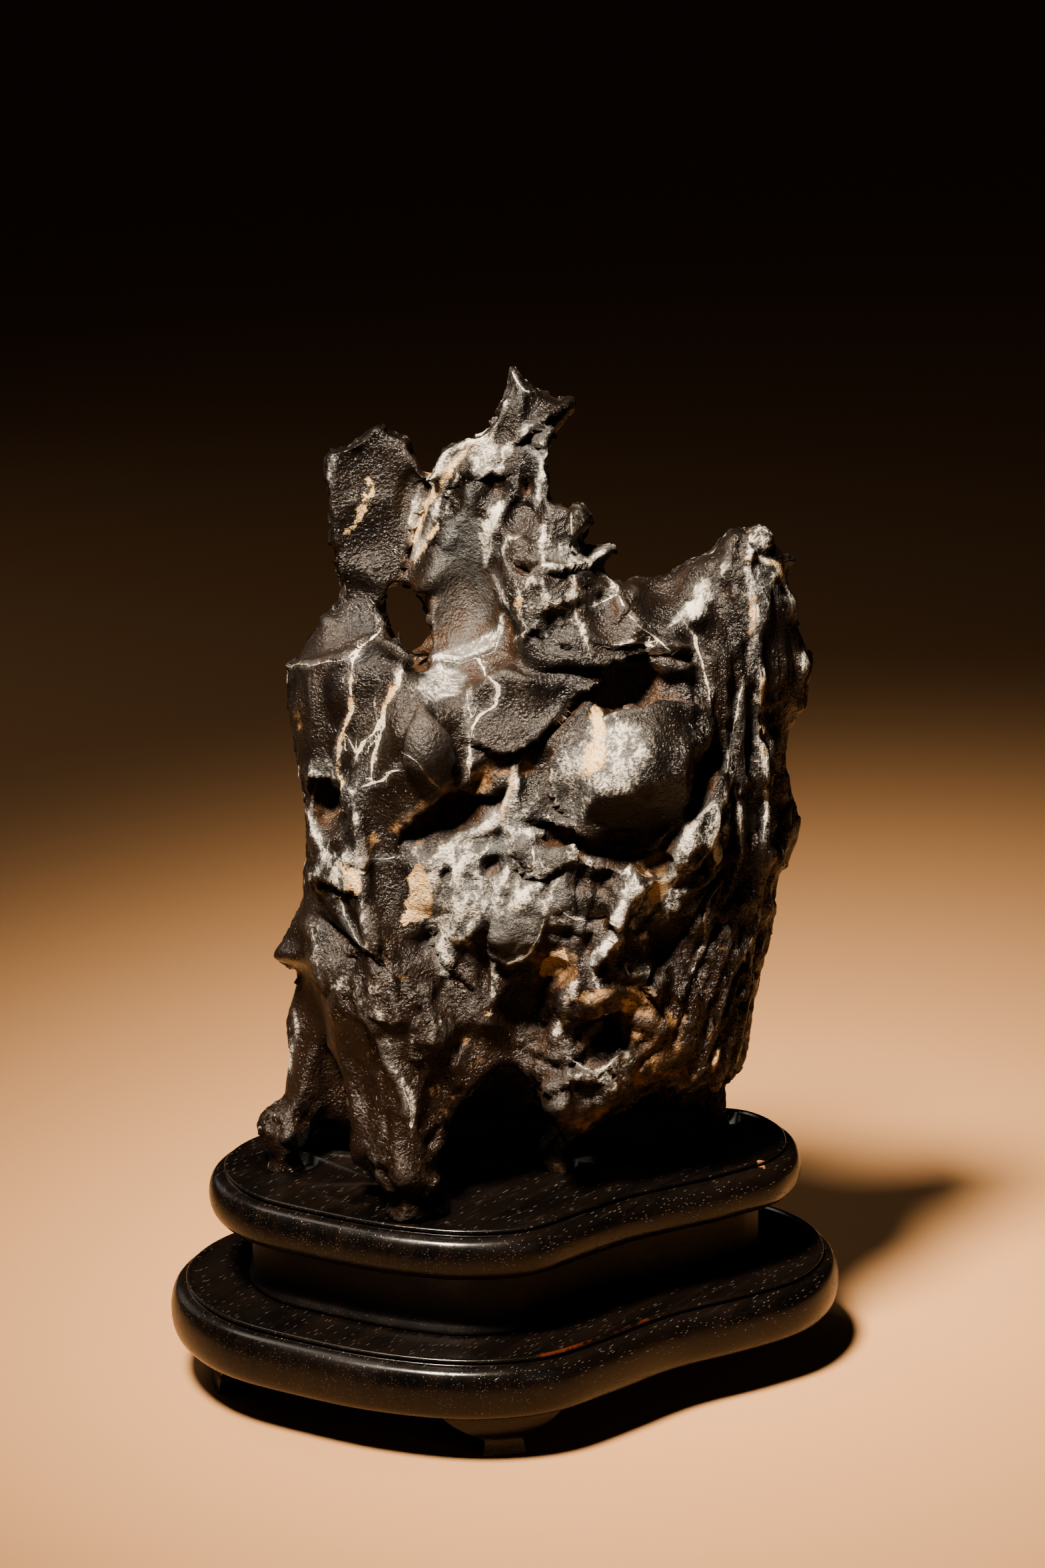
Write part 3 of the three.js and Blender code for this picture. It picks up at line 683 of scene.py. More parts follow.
# %% Scoops and lumps
FORM_STRENGTH = 1.25
SCOOPS = {
    "fin, upper face": (552, 715, 56, 46, -20, 1.1),
    "fin, lower face": (548, 800, 46, 56, 10, 1.0),
    "fin, right facet": (612, 750, 20, 60, 8, 1.1),
    "neck under the fin": (520, 905, 36, 58, 15, 1.3),
    "blue trough": (694, 870, 48, 124, 6, 1.1),
    "middle ridge shoulder": (668, 775, 20, 62, 28, 1.3),
    "glossy hollow": (742, 738, 19, 27, 0, 1.8),
    "peak facet": (804, 612, 24, 30, 15, 1.6),
    "peak, left face": (758, 640, 14, 46, 10, 0.9),
    "under the ear": (789, 732, 9, 14, 0, 2.4),
    "dark centre facet": (770, 772, 28, 34, 0, 1.7),
    "white dish": (855, 828, 46, 24, -4, 2.0),
    "block facet": (826, 932, 30, 34, 0, 1.6),
    "block facet, left": (797, 905, 20, 34, 10, 1.2),
    "tent facet": (915, 925, 34, 42, -15, 2.0),
    "saddle panel": (1000, 894, 56, 44, -30, 1.2),
    "shaded V": (1062, 958, 48, 36, -25, 1.0),
    "fan": (770, 1052, 132, 42, -8, 0.7),
    "shoulder facet": (560, 1040, 32, 60, 5, 1.2),
    "shoulder face": (487, 1075, 34, 68, 0, 1.2),
    "left flank face": (448, 1090, 20, 90, -4, 1.2),
    "between the veins": (520, 1140, 16, 44, 4, 0.9),
    "under the fan": (750, 1158, 52, 26, -15, 2.0),
    "dark panel": (577, 1272, 33, 98, 0, 0.5),
    "left cave": (488, 1206, 22, 34, 0, 1.6),
    "left facet": (478, 1350, 30, 34, 0, 1.5),
    "spike facet": (450, 1412, 36, 32, -20, 1.2),
    "leg, left face": (545, 1622, 34, 108, -6, 1.6),
    "leg, right face": (652, 1655, 30, 84, 12, 0.9),
    "leg notch": (647, 1710, 12, 20, 25, 2.0),
    "leg, toe": (586, 1775, 36, 46, 20, 0.4),
    "arch shoulder": (722, 1565, 40, 38, 0, 1.2),
    "tooth facet": (880, 1648, 36, 38, -20, 1.4),
    "dark recess": (784, 1520, 27, 42, 10, 0.7),
    "ochre cave": (828, 1460, 32, 26, 0, 1.2),
    "ring pit": (892, 1558, 29, 36, 20, 0.7),
    "small pit": (934, 1566, 11, 13, 0, 1.8),
    "small pit, right": (962, 1566, 12, 15, 30, 1.8),
    "ochre gap": (985, 1298, 30, 18, -10, 3.0),
    "beside the boulder": (1056, 1165, 22, 66, 18, 2.8),
    "dark dale": (1012, 1420, 44, 58, 20, 1.8),
    "dale, lower end": (935, 1478, 42, 20, 0, 1.3),
    "flank top": (1162, 1062, 26, 56, 0, 1.5),
    "flank bulge face": (1176, 1240, 20, 48, 0, 1.3),
    "rear leg face": (455, 1540, 26, 70, 6, 1.4),
    "rear foot face": (436, 1680, 38, 30, -10, 1.3),
    "between brow and petal": (720, 1262, 30, 20, -10, 1.0),
    "small scoop in the middle": (736, 1297, 20, 22, 0, 2.2),
    "small scoop, right": (905, 1325, 26, 22, 10, 1.5),
    "boulder, right facet": (1012, 1118, 46, 52, 0, 1.3),
    "boulder, lower facet": (940, 1226, 62, 36, 10, 1.3),
    "boulder, notch": (862, 1188, 26, 34, 20, 1.0),
    "block, left facet": (838, 878, 22, 19, 0, 1.5),
    "block, right facet": (852, 925, 16, 34, 0, 1.0),
    "under the horn": (1085, 905, 22, 60, -10, 1.6),
    "between the ridge and the peak": (768, 776, 14, 26, 0, 1.3),
    "cheek": (650, 1400, 24, 50, 0, 1.2),
    "middle facet": (740, 1265, 30, 28, 20, 1.3),
    "middle facet, right": (868, 1320, 22, 30, 0, 1.4),
    "small pit in the white": (672, 1311, 9, 14, 0, 1.6),
    "hollow of the tongue": (903, 1376, 12, 26, 20, 2.2),
    "holes by the petal": (842, 1402, 24, 11, 0, 1.6),
    "tongue hole": (905, 1448, 10, 14, 0, 1.8),
    "black hollow": (784, 851, 18, 14, 0, 2.4),
    "ridge panel": (697, 768, 17, 44, 6, 1.4),
    "under the white mass": (752, 737, 22, 18, 0, 1.6),
    "pale ridge facet": (1057, 1292, 17, 20, 20, 1.4),
    "horn cleft": (1109, 814, 7, 15, 0, 1.8),
    "boulder dent": (925, 1205, 26, 13, -25, 1.0),
    "second boulder dent": (972, 1196, 20, 16, -40, 0.9),
    "third boulder dent": (1000, 1150, 15, 24, 20, 0.7),
}
LUMPS = {
    "pebble": (641, 1115, 47, 70, -12, 1.6),
    "shoulder roll": (505, 1040, 24, 42, 5, 1.1),
    "petal": (772, 1406, 40, 38, -20, 0.9),
    "knuckle": (792, 1282, 22, 22, 0, 1.0),
    "flecked boss": (646, 1552, 36, 46, 10, 1.4),
    "left shelf": (512, 1312, 44, 34, 20, 0.7),
    "ridge lobe": (702, 755, 15, 36, 5, 1.2),
    "dark block": (783, 818, 20, 18, 0, 1.6),
    "horn knob": (1140, 812, 24, 28, 0, 2.0),
    "horn, right knob": (1178, 836, 15, 14, 0, 1.5),
    "flank knob": (1207, 1008, 16, 34, 0, 1.8),
    "horn shoulder": (1078, 852, 30, 24, -30, 1.6),
    "tooth": (836, 1650, 28, 46, -10, 1.8),
    "lump in the recess": (999, 1010, 26, 18, 0, 1.0),
    "boulder flank": (905, 1180, 58, 50, -20, 1.6),
    "cheek under the cave": (655, 1340, 22, 46, 0, 0.9),
    "under the tongue": (890, 1440, 20, 24, 0, 1.2),
    "second knuckle": (832, 1286, 24, 26, 0, 1.0),
    "lobe over the petal": (782, 1350, 30, 24, -20, 0.9),
    "spike on the ridge": (700, 708, 11, 20, 0, 2.2),
    "small tooth": (709, 1402, 14, 20, 0, 1.0),
}
skin.look()
skin.push(FORM_STRENGTH * oval_relief(SCOOPS, LUMPS) * skin.front, smoothing=8)
print("scoops", len(SCOOPS), "and lumps", len(LUMPS))

# %% [markdown]
# ## Ledges, crests and furrows
#
# A ledge in shade is what gives the face its drawing. Crests and furrows are (half width in pixels,
# height in mm, points), with a soft bell across the line. A ledge is (half width, lip in mm, drop in
# mm, points): the stone stands forward on the left of the line, as one walks along it, and falls away
# at once on its right.

# %% Crests, ledges and furrows
CRESTS = {
    "ledge": (8, 1.8, [(430, 1000), (480, 995), (520, 988), (548, 962), (565, 962), (600, 975), (650, 993),
                       (700, 996), (740, 975), (757, 932), (754, 905)]),
    "window rim": (6, 1.2, [(586, 880), (583, 905), (590, 945), (602, 968), (620, 985)]),
    "saddle": (7, 1.8, [(912, 862), (930, 895), (945, 920), (960, 940), (975, 950), (1003, 972)]),
    "peak": (4, 0.8, [(768, 552), (775, 575), (780, 590), (780, 612), (777, 634)]),
    "middle ridge": (8, 1.3, [(640, 725), (655, 700), (680, 670), (720, 657)]),
    "upright fold": (8, 1.9, [(535, 1190), (545, 1300), (548, 1350), (556, 1400), (575, 1450)]),
    "pale ridge": (7, 1.6, [(1090, 1180), (1088, 1215), (1086, 1255), (1078, 1290), (1050, 1322),
                            (1012, 1345)]),
    "brow": (8, 1.4, [(790, 1250), (850, 1262), (880, 1285), (905, 1298), (940, 1295), (955, 1320),
                      (960, 1350)]),
    "leg crest": (8, 1.6, [(500, 1500), (550, 1525), (575, 1570), (600, 1620), (612, 1680), (640, 1740)]),
    "leg, right crest": (6, 0.6, [(640, 1610), (680, 1600), (705, 1572), (725, 1528), (760, 1545)]),
    "spike crest": (6, 1.4, [(470, 1330), (515, 1370), (530, 1400), (548, 1425)]),
    "cavity floor": (9, 0.8, [(605, 1300), (650, 1292), (690, 1257), (740, 1232), (765, 1215)]),
    "strut by the pit": (9, 1.0, [(850, 1475), (843, 1510), (838, 1550)]),
    "arch edge": (7, 0.7, [(665, 1720), (676, 1680), (698, 1632), (745, 1592), (778, 1586), (805, 1625)]),
    "block ridge": (4, 1.4, [(812, 790), (811, 812), (816, 849)]),
    "white column": (5, 1.5, [(790, 668), (778, 700), (768, 740), (748, 775), (738, 820), (728, 850)]),
    "boulder crease": (6, 0.4, [(962, 1078), (985, 1110), (992, 1160), (975, 1215), (962, 1255)]),
    "flank rib": (5, 0.5, [(1140, 960), (1146, 1060), (1150, 1160), (1150, 1262), (1132, 1340),
                           (1112, 1420)]),
    "second flank rib": (5, 0.4, [(1112, 1030), (1104, 1100), (1108, 1200), (1112, 1285), (1090, 1350)]),
    "trough rim": (4, 1.1, [(738, 862), (750, 890), (757, 915), (752, 945), (735, 968)]),
    "tongue": (7, 1.5, [(950, 1320), (938, 1352), (925, 1388), (908, 1418), (890, 1445)]),
    "tongue, left lobe": (6, 1.1, [(905, 1318), (925, 1330), (936, 1348)]),
    "pit ring": (6, 1.3, [(865, 1516), (893, 1500), (925, 1485), (958, 1491), (978, 1511), (974, 1534)]),
}
LEDGES = {
    "fan, lower edge": (7, 1.0, 3.4, [(702, 1114), (742, 1130), (773, 1127), (800, 1114), (826, 1087),
                                      (852, 1056), (894, 1030), (936, 993)]),
    "recess roof": (8, 1.5, 2.6, [(868, 1016), (900, 1000), (930, 985), (960, 978), (1000, 974),
                                  (1036, 976), (1060, 992)]),
    "boulder top": (8, 1.4, 1.8, [(1066, 1056), (1020, 1057), (985, 1054), (950, 1066), (912, 1064)]),
    "boulder side": (8, 1.2, 2.0, [(1026, 1210), (1050, 1145), (1064, 1095), (1067, 1058)]),
    "lip under the boulder": (8, 1.3, 2.6, [(800, 1232), (850, 1240), (875, 1250), (900, 1268),
                                            (940, 1277), (985, 1272), (1016, 1240)]),
    "cavity roof": (8, 1.3, 1.6, [(596, 1268), (604, 1245), (622, 1218), (652, 1196), (692, 1180),
                                  (715, 1192), (746, 1192), (768, 1168)]),
    "left cave roof": (7, 1.2, 2.4, [(452, 1196), (468, 1170), (494, 1166), (512, 1190), (522, 1232)]),
    "pit rim": (6, 0.7, 1.1, [(862, 1566), (864, 1536), (880, 1515), (905, 1512), (926, 1530)]),
    "pit lip": (6, 1.3, 2.2, [(930, 1560), (920, 1590), (895, 1602), (866, 1592)]),
    "petal rim": (6, 1.2, 1.8, [(733, 1385), (738, 1430), (765, 1448), (800, 1426), (814, 1388)]),
    "fin, right edge": (6, 1.0, 2.0, [(600, 866), (612, 806), (626, 752), (640, 714)]),
    "shelf edge": (6, 0.7, 1.4, [(456, 1330), (486, 1322), (520, 1340), (552, 1342)]),
    "saddle edge": (6, 1.2, 1.4, [(1003, 975), (975, 952), (945, 920), (928, 892), (912, 862)]),
    "peak foot": (5, 1.0, 1.6, [(772, 668), (790, 662), (812, 668), (826, 690)]),
    "dish edge": (5, 1.0, 1.6, [(806, 860), (850, 858), (892, 842)]),
    "block edge": (5, 0.9, 1.3, [(788, 958), (800, 946), (822, 962), (862, 976)]),
    "knuckle edge": (6, 1.0, 1.6, [(760, 1290), (785, 1312), (820, 1316), (850, 1300)]),
    "cheek edge": (6, 0.9, 1.6, [(640, 1395), (662, 1440), (690, 1470), (716, 1490)]),
    "tooth edge": (6, 1.0, 1.4, [(800, 1612), (826, 1640), (862, 1620), (905, 1625)]),
    "boulder, left edge": (7, 0.7, 1.8, [(882, 1062), (845, 1100), (826, 1140), (823, 1175), (832, 1205),
                                        (862, 1232)]),
    "ear ledge": (5, 1.2, 2.4, [(776, 664), (796, 651), (815, 634), (841, 621), (861, 608)]),
    "ridge ledge": (4, 0.9, 1.8, [(712, 720), (740, 715), (776, 709)]),
    "dome foot": (4, 0.8, 2.0, [(764, 838), (785, 846), (806, 842)]),
    "pale ridge, right edge": (6, 0.8, 2.2, [(1052, 1330), (1080, 1300), (1090, 1250), (1092, 1190)]),
}
FURROWS = {
    "crescent": (10, -2.6, [(758, 982), (790, 1000), (830, 1012), (870, 1014), (922, 1004)]),
    "left of the pebble": (7, -1.5, [(628, 1050), (602, 1090), (598, 1140), (612, 1172)]),
    "right of the pebble": (7, -1.7, [(646, 1060), (682, 1098), (692, 1140), (682, 1180)]),
    "under the boulder": (9, -3.0, [(812, 1256), (860, 1260), (882, 1284), (920, 1292), (962, 1294)]),
    "spike gully": (5, -2.4, [(455, 1369), (492, 1388), (519, 1412), (550, 1435), (581, 1454)]),
    "leg gully": (6, -1.2, [(548, 1400), (580, 1440), (604, 1470), (612, 1520)]),
    "tongue gully": (8, -1.9, [(900, 1345), (882, 1390), (876, 1450), (890, 1490)]),
    "fin crease": (5, -0.6, [(550, 710), (545, 765)]),
    "ledge shadow": (7, -1.2, [(560, 985), (600, 995), (650, 1008)]),
    "flank gully": (7, -0.7, [(1098, 960), (1100, 1050), (1096, 1150), (1098, 1230)]),
    "second flank gully": (6, -0.5, [(1128, 1010), (1126, 1120), (1130, 1240), (1112, 1330)]),
    "petal furrow": (6, -1.5, [(722, 1375), (726, 1440), (762, 1462), (806, 1440), (824, 1395)]),
    "beside the panel": (5, -1.2, [(604, 1300), (604, 1340), (608, 1385)]),
    "middle furrow": (5, -1.5, [(732, 1290), (735, 1350), (728, 1400)]),
    "under the saddle": (6, -1.6, [(880, 965), (925, 975), (965, 968), (990, 985)]),
    "hem gully": (7, -1.6, [(955, 1640), (965, 1600), (985, 1570)]),
    "leg seam": (4, -0.7, [(560, 1560), (575, 1640), (585, 1720)]),
    "rain gully 1": (5, -1.8, [(1112, 1330), (1075, 1400), (1040, 1480), (1005, 1580)]),
    "rain gully 2": (5, -1.5, [(1080, 1315), (1040, 1390), (1000, 1440), (965, 1500)]),
    "rain gully 3": (5, -1.7, [(1146, 1390), (1110, 1470), (1085, 1560), (1060, 1610)]),
    "rain gully 4": (5, -1.3, [(1130, 1440), (1102, 1530), (1080, 1600)]),
    "rain gully 5": (5, -0.6, [(1170, 1090), (1166, 1180), (1172, 1280)]),
    "rain gully 6": (5, -0.6, [(1122, 960), (1122, 1060), (1124, 1160), (1128, 1260)]),
    "petal cleft": (5, -2.6, [(729, 1378), (731, 1420), (728, 1460), (726, 1500)]),
    "lobe crevice": (5, -2.0, [(764, 1290), (768, 1318), (762, 1345), (750, 1372)]),
    "right of the lobe": (5, -2.0, [(828, 1312), (818, 1335), (812, 1352)]),
    "right lobes": (6, -1.6, [(880, 1300), (872, 1330), (868, 1370), (880, 1400)]),
    "peak cleft": (3, -1.4, [(779, 748), (790, 760), (802, 774), (810, 800), (812, 833)]),
}


def line_distance(points, spots):
    """Pixels from a line in the picture, positive on its right, and how far along it, 0 to 1."""
    line = np.array(points, float)
    lengths = np.linalg.norm(line[1:] - line[:-1], axis=1)
    nearest = np.full(len(spots), 1e9)
    side = np.ones(len(spots))
    along = np.zeros(len(spots))
    done = 0.0
    for a, b, length in zip(line[:-1], line[1:], lengths):
        rel = spots - a
        t = np.clip(rel @ (b - a) / length ** 2, 0, 1)
        gap = np.hypot(*(rel - t[:, None] * (b - a)).T)
        closer = gap < nearest
        nearest[closer] = gap[closer]
        turned = (b - a)[0] * rel[closer, 1] - (b - a)[1] * rel[closer, 0]
        side[closer] = np.where(turned < 0, -1, 1)
        along[closer] = (done + t[closer] * length) / lengths.sum()
        done += length
    return nearest * side, along

# %% Pressing the lines into the skin
LINE_STRENGTH = 1.15
LEDGE_REACH = (1.9, 1.5)
line_spots = 0.7 * skin.pixels + 0.3 * skin.spots
line_relief = np.zeros(skin.count)
for half_width, height, points in [*CRESTS.values(), *FURROWS.values()]:
    gap, along = line_distance(points, line_spots)
    taper = np.sqrt(np.clip(5 * along * (1 - along), 0.12, 1))
    bell = height * taper * np.exp(-(gap / half_width) ** 2)
    line_relief = np.where(np.abs(bell) > np.abs(line_relief), bell, line_relief)
for half_width, lip, drop, points in LEDGES.values():
    gap, along = line_distance(points, line_spots)
    taper = np.sqrt(np.clip(6 * along * (1 - along), 0.1, 1))
    reach = np.where(gap < 0, *LEDGE_REACH) * half_width
    step = np.where(gap < 0, lip, -drop) * taper * np.exp(-(gap / reach) ** 2)
    line_relief = np.where(np.abs(step) > np.abs(line_relief), step, line_relief)
skin.push(LINE_STRENGTH * line_relief * skin.front)
skin.place = skin.relaxed(skin.place, 1, share=0.2)
for reach in LAST_REACHES:
    draw_to_outline(reach)
skin.place[:, 2] = np.maximum(skin.place[:, 2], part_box("stone")[0].z)
print("crests", len(CRESTS), "ledges", len(LEDGES), "and furrows", len(FURROWS))

# %% [markdown]
# ## Where the stone is pale
#
# The stone is black where hands have polished it. White calcite runs in veins, a grey-white bloom
# lies on raised places, and beige crust is left in the joints. Each of these is painted as a number
# on the vertices: for veins and crusts the distance to the edge in mm, so that the material can
# draw a crisp edge between vertices, and for bloom and ochre a soft amount. Each vein or crust is
# (half width in mm, points).

# %% Veins and crusts
VEINS = {
    "left vein": (0.3, [(565, 930), (567, 945), (548, 962), (530, 990), (525, 1030), (530, 1060),
                        (520, 1090), (508, 1130), (503, 1150), (510, 1190)]),
    "second vein": (0.34, [(612, 975), (600, 1010), (595, 1030), (580, 1055), (572, 1080), (562, 1100),
                           (548, 1118), (535, 1140)]),
    "second vein, branch": (0.26, [(575, 1080), (568, 1120), (560, 1160)]),
    "second vein, twig": (0.22, [(525, 1105), (535, 1130)]),
    "cross vein": (0.2, [(548, 1180), (560, 1172), (580, 1168), (590, 1158), (602, 1156)]),
    "fan vein": (0.4, [(717, 989), (725, 1011), (747, 1033), (742, 1057), (720, 1074), (709, 1093),
                       (703, 1120), (706, 1169)]),
    "fan vein, branch": (0.26, [(698, 1044), (709, 1087)]),
    "flank vein": (0.24, [(1140, 1000), (1145, 1100), (1150, 1150), (1148, 1200), (1146, 1262)]),
    "flank vein, inner": (0.2, [(1112, 1030), (1105, 1060), (1098, 1090), (1093, 1130), (1090, 1150)]),
    "flank vein, lower": (0.2, [(1105, 1140), (1106, 1190), (1112, 1230), (1113, 1280)]),
    "flank thread": (0.32, [(1079, 1329), (1065, 1347), (1059, 1378), (1053, 1418), (1041, 1451)]),
    "flank thread, right": (0.3, [(1140, 1360), (1137, 1390)]),
    "lower thread": (0.3, [(1128, 1408), (1116, 1440)]),
    "horn thread": (0.36, [(1022, 925), (1048, 954), (1052, 980), (1055, 1000), (1063, 1046)]),
    "saddle vein": (0.18, [(912, 862), (930, 895), (945, 920), (960, 940), (980, 952), (1003, 972)]),
    "saddle vein, branch": (0.35, [(885, 912), (900, 905), (922, 890)]),
    "white squiggle": (0.35, [(925, 965), (950, 958), (978, 966)]),
    "panel line": (0.22, [(545, 1286), (570, 1286), (592, 1284)]),
    "spike thread": (0.18, [(512, 1345), (518, 1375), (530, 1408), (540, 1420)]),
    "leg vein": (0.3, [(605, 1635), (615, 1665), (617, 1695)]),
    "pebble hair": (0.16, [(612, 1132), (632, 1150), (655, 1182)]),
    "block vein": (0.14, [(775, 958), (789, 946), (778, 925), (783, 905), (776, 878)]),
    "block vein, right": (0.2, [(864, 865), (866, 895), (868, 924), (880, 969)]),
    "nub line": (0.3, [(855, 770), (860, 795)]),
    "cheek hook": (0.3, [(870, 1378), (850, 1375), (835, 1362)]),
    "petal edge": (0.25, [(760, 1448), (790, 1432), (808, 1400), (812, 1385)]),
    "knuckle line": (0.25, [(800, 1272), (803, 1298)]),
    "ledge light": (0.04, [(432, 1000), (480, 995), (520, 988), (548, 962)]),
    "window light": (0.05, [(586, 882), (584, 905), (592, 945), (606, 970), (636, 990), (690, 997),
                            (738, 978), (756, 935)]),
    "peak light": (0.12, [(768, 552), (773, 570), (780, 584), (787, 593), (800, 590)]),
    "pit lip light": (0.14, [(852, 1588), (875, 1601), (905, 1604), (932, 1584)]),
    "block hair": (0.12, [(815, 898), (840, 906), (862, 915)]),
}
CRUSTS = {
    "left vein core": (0.32, [(526, 1020), (528, 1050), (524, 1080), (512, 1115), (505, 1150), (510, 1188)]),
    "second vein core": (0.3, [(592, 1030), (580, 1055), (570, 1075)]),
    "fin leaf": (0.6, [(553, 722), (560, 740), (548, 762), (533, 785), (522, 795)]),
    "fin leaf tip": (0.5, [(560, 735), (545, 752), (535, 778)]),
    "ridge streak": (0.6, [(720, 655), (690, 690), (655, 728), (632, 765), (620, 800), (614, 842)]),
    "second ridge streak": (0.5, [(655, 780), (642, 806), (628, 828), (615, 848)]),
    "block speck": (0.4, [(780, 895), (776, 915)]),
    "second block speck": (0.3, [(866, 880), (867, 915)]),
    "boulder streak": (1.5, [(898, 1062), (900, 1090), (896, 1112)]),
    "under the fan": (0.5, [(770, 1150), (764, 1195), (754, 1230)]),
    "horn streak": (0.6, [(1126, 888), (1130, 915), (1128, 950)]),
    "horn ring": (0.5, [(1123, 800), (1121, 834), (1147, 844), (1165, 855), (1177, 878)]),
    "beige patch": (2.9, [(628, 1308), (630, 1340), (624, 1376)]),
    "beige patch, tail": (1.2, [(612, 1372), (606, 1388)]),
    "ridge foot": (1.7, [(996, 1322), (985, 1336), (974, 1350)]),
    "shelf cream": (1.4, [(510, 1300), (530, 1316), (537, 1345)]),
    "pit cream": (1.5, [(936, 1500), (948, 1510), (950, 1520)]),
    "ochre in the pit": (1.2, [(906, 1534), (895, 1548), (874, 1562)]),
    "ochre in the cave": (2.6, [(842, 1430), (832, 1445), (815, 1456)]),
    "ochre gap": (0.9, [(965, 1288), (962, 1300), (975, 1312)]),
    "leg top ochre": (0.5, [(733, 1522), (745, 1512)]),
    "flank cream": (0.6, [(1082, 1570), (1072, 1600)]),
    "second pit cream": (1.3, [(948, 1546), (956, 1560)]),
    "flank streak": (0.35, [(1147, 1010), (1146, 1060), (1143, 1123), (1148, 1160)]),
    "boulder streak, foot": (2.2, [(894, 1112), (888, 1140), (878, 1162)]),
}

# %% How far each vertex is from a vein or a crust
FAR = 30.0


def edge_distance(lines):
    """For the nearest painted line, the distance in mm with its side, and the half width there."""
    best = np.full(skin.count, FAR)
    side = np.full(skin.count, FAR)
    width = np.zeros(skin.count)
    for half_width, points in lines.values():
        gap, along = line_distance(points, line_spots)
        here = half_width * np.sqrt(np.clip(8 * along * (1 - along), 0.15, 1))
        edge = np.abs(gap) * MM_PER_PIXEL - here
        closer = (edge < best) & (skin.seen > 0)
        best[closer] = edge[closer]
        side[closer] = gap[closer] * MM_PER_PIXEL
        width[closer] = here[closer]
    return best, side, width


skin.look()
line_spots = 0.6 * skin.pixels + 0.4 * skin.spots
vein_edge, vein_side, vein_width = edge_distance(VEINS)
crust_edge = edge_distance(CRUSTS)[0]
print("veins", len(VEINS), "and crusts", len(CRUSTS))

# %% [markdown]
# ## Bloom, bare places, painted shade, ochre and dust
#
# Bloom lies in patches, which are soft ovals with their amount at the end, and in wisps along the
# ridges, which are (half width in pixels, amount, points). Each has a wide and weak skirt, because
# the coat thins out before it ends. Inside the patches some places are kept bare and black: bare
# stone, and painted shade in recesses and on facets turned away from the light.
# Ochre earth is left in pits and joints, and bluish dust in the smooth troughs. On the hidden sides
# all of these come from noise.

# %% Patches of bloom
BLOOM = {
    "middle ridge mass": (722, 684, 40, 38, 0, 1.0),
    "trough, foot": (690, 968, 50, 20, -10, 0.6),
    "peak foot": (800, 655, 34, 26, -30, 0.55),
    "white dish": (855, 828, 50, 24, -4, 0.85),
    "block tops": (826, 900, 56, 74, 0, 0.44),
    "horn knob": (1141, 808, 20, 24, 0, 0.5),
    "flank knob": (1210, 1005, 12, 34, 0, 0.55),
    "fan, left corner": (662, 1024, 38, 28, 10, 1.0),
    "fan": (790, 1035, 120, 60, -6, 0.15),
    "pebble": (641, 1115, 41, 60, -12, 0.15),
    "boulder cheek": (862, 1200, 34, 20, 20, 0.7),
    "boulder top": (965, 1090, 66, 26, -10, 0.3),
    "boulder side": (998, 1165, 26, 46, 0, 0.2),
    "shoulder": (500, 1060, 32, 46, 0, 0.1),
    "shoulder facet": (557, 1035, 32, 52, 0, 0.1),
    "beside the left vein": (484, 1158, 26, 24, 0, 0.6),
    "second vein band": (552, 1110, 26, 90, 14, 0.4),
    "left shelf": (518, 1312, 28, 38, 20, 0.75),
    "spike side": (492, 1420, 26, 44, -30, 0.45),
    "centre, top": (752, 1232, 60, 34, -30, 0.85),
    "centre": (722, 1310, 110, 78, -8, 0.74),
    "centre, left": (668, 1385, 48, 88, -6, 0.74),
    "centre, low": (700, 1460, 46, 60, -10, 0.6),
    "centre, right": (815, 1315, 70, 66, 0, 0.66),
    "petal": (775, 1402, 46, 46, 0, 0.45),
    "pale ridge": (1052, 1255, 32, 84, 32, 0.6),
    "ridge foot": (985, 1350, 44, 36, -20, 0.5),
    "tongue": (915, 1405, 28, 62, 20, 0.45),
    "tongue tip": (895, 1465, 24, 24, 0, 0.4),
    "right of the tongue": (965, 1440, 36, 34, 0, 0.5),
    "pit surround": (895, 1615, 66, 34, 0, 0.45),
    "tooth": (838, 1635, 34, 50, -10, 0.3),
    "flecked boss": (646, 1555, 40, 48, 10, 0.3),
    "leg face": (560, 1730, 34, 40, 0, 0.25),
    "rear foot": (432, 1680, 44, 32, 0, 0.12),
    "fin, left edge": (497, 705, 9, 30, 0, 0.45),
    "fin face": (560, 700, 56, 34, 0, 0.1),
    "nub": (872, 775, 18, 22, 0, 0.4),
    "saddle": (962, 905, 36, 30, 0, 0.12),
    "right arch top": (1000, 1330, 30, 26, 0, 0.6),
    "horn body": (1140, 880, 28, 40, 0, 0.6),
    "horn crust": (1062, 886, 17, 30, 35, 1.0),
    "horn crust, foot": (1042, 912, 20, 14, -10, 0.85),
    "flank": (1136, 1090, 18, 80, 0, 0.55),
    "leg band, top": (505, 1455, 34, 26, 40, 0.36),
    "leg band, middle": (556, 1500, 44, 20, 35, 0.38),
    "boulder mist": (912, 1140, 80, 60, -30, 0.84),
    "boulder mist, left": (858, 1188, 54, 50, -20, 0.66),
}

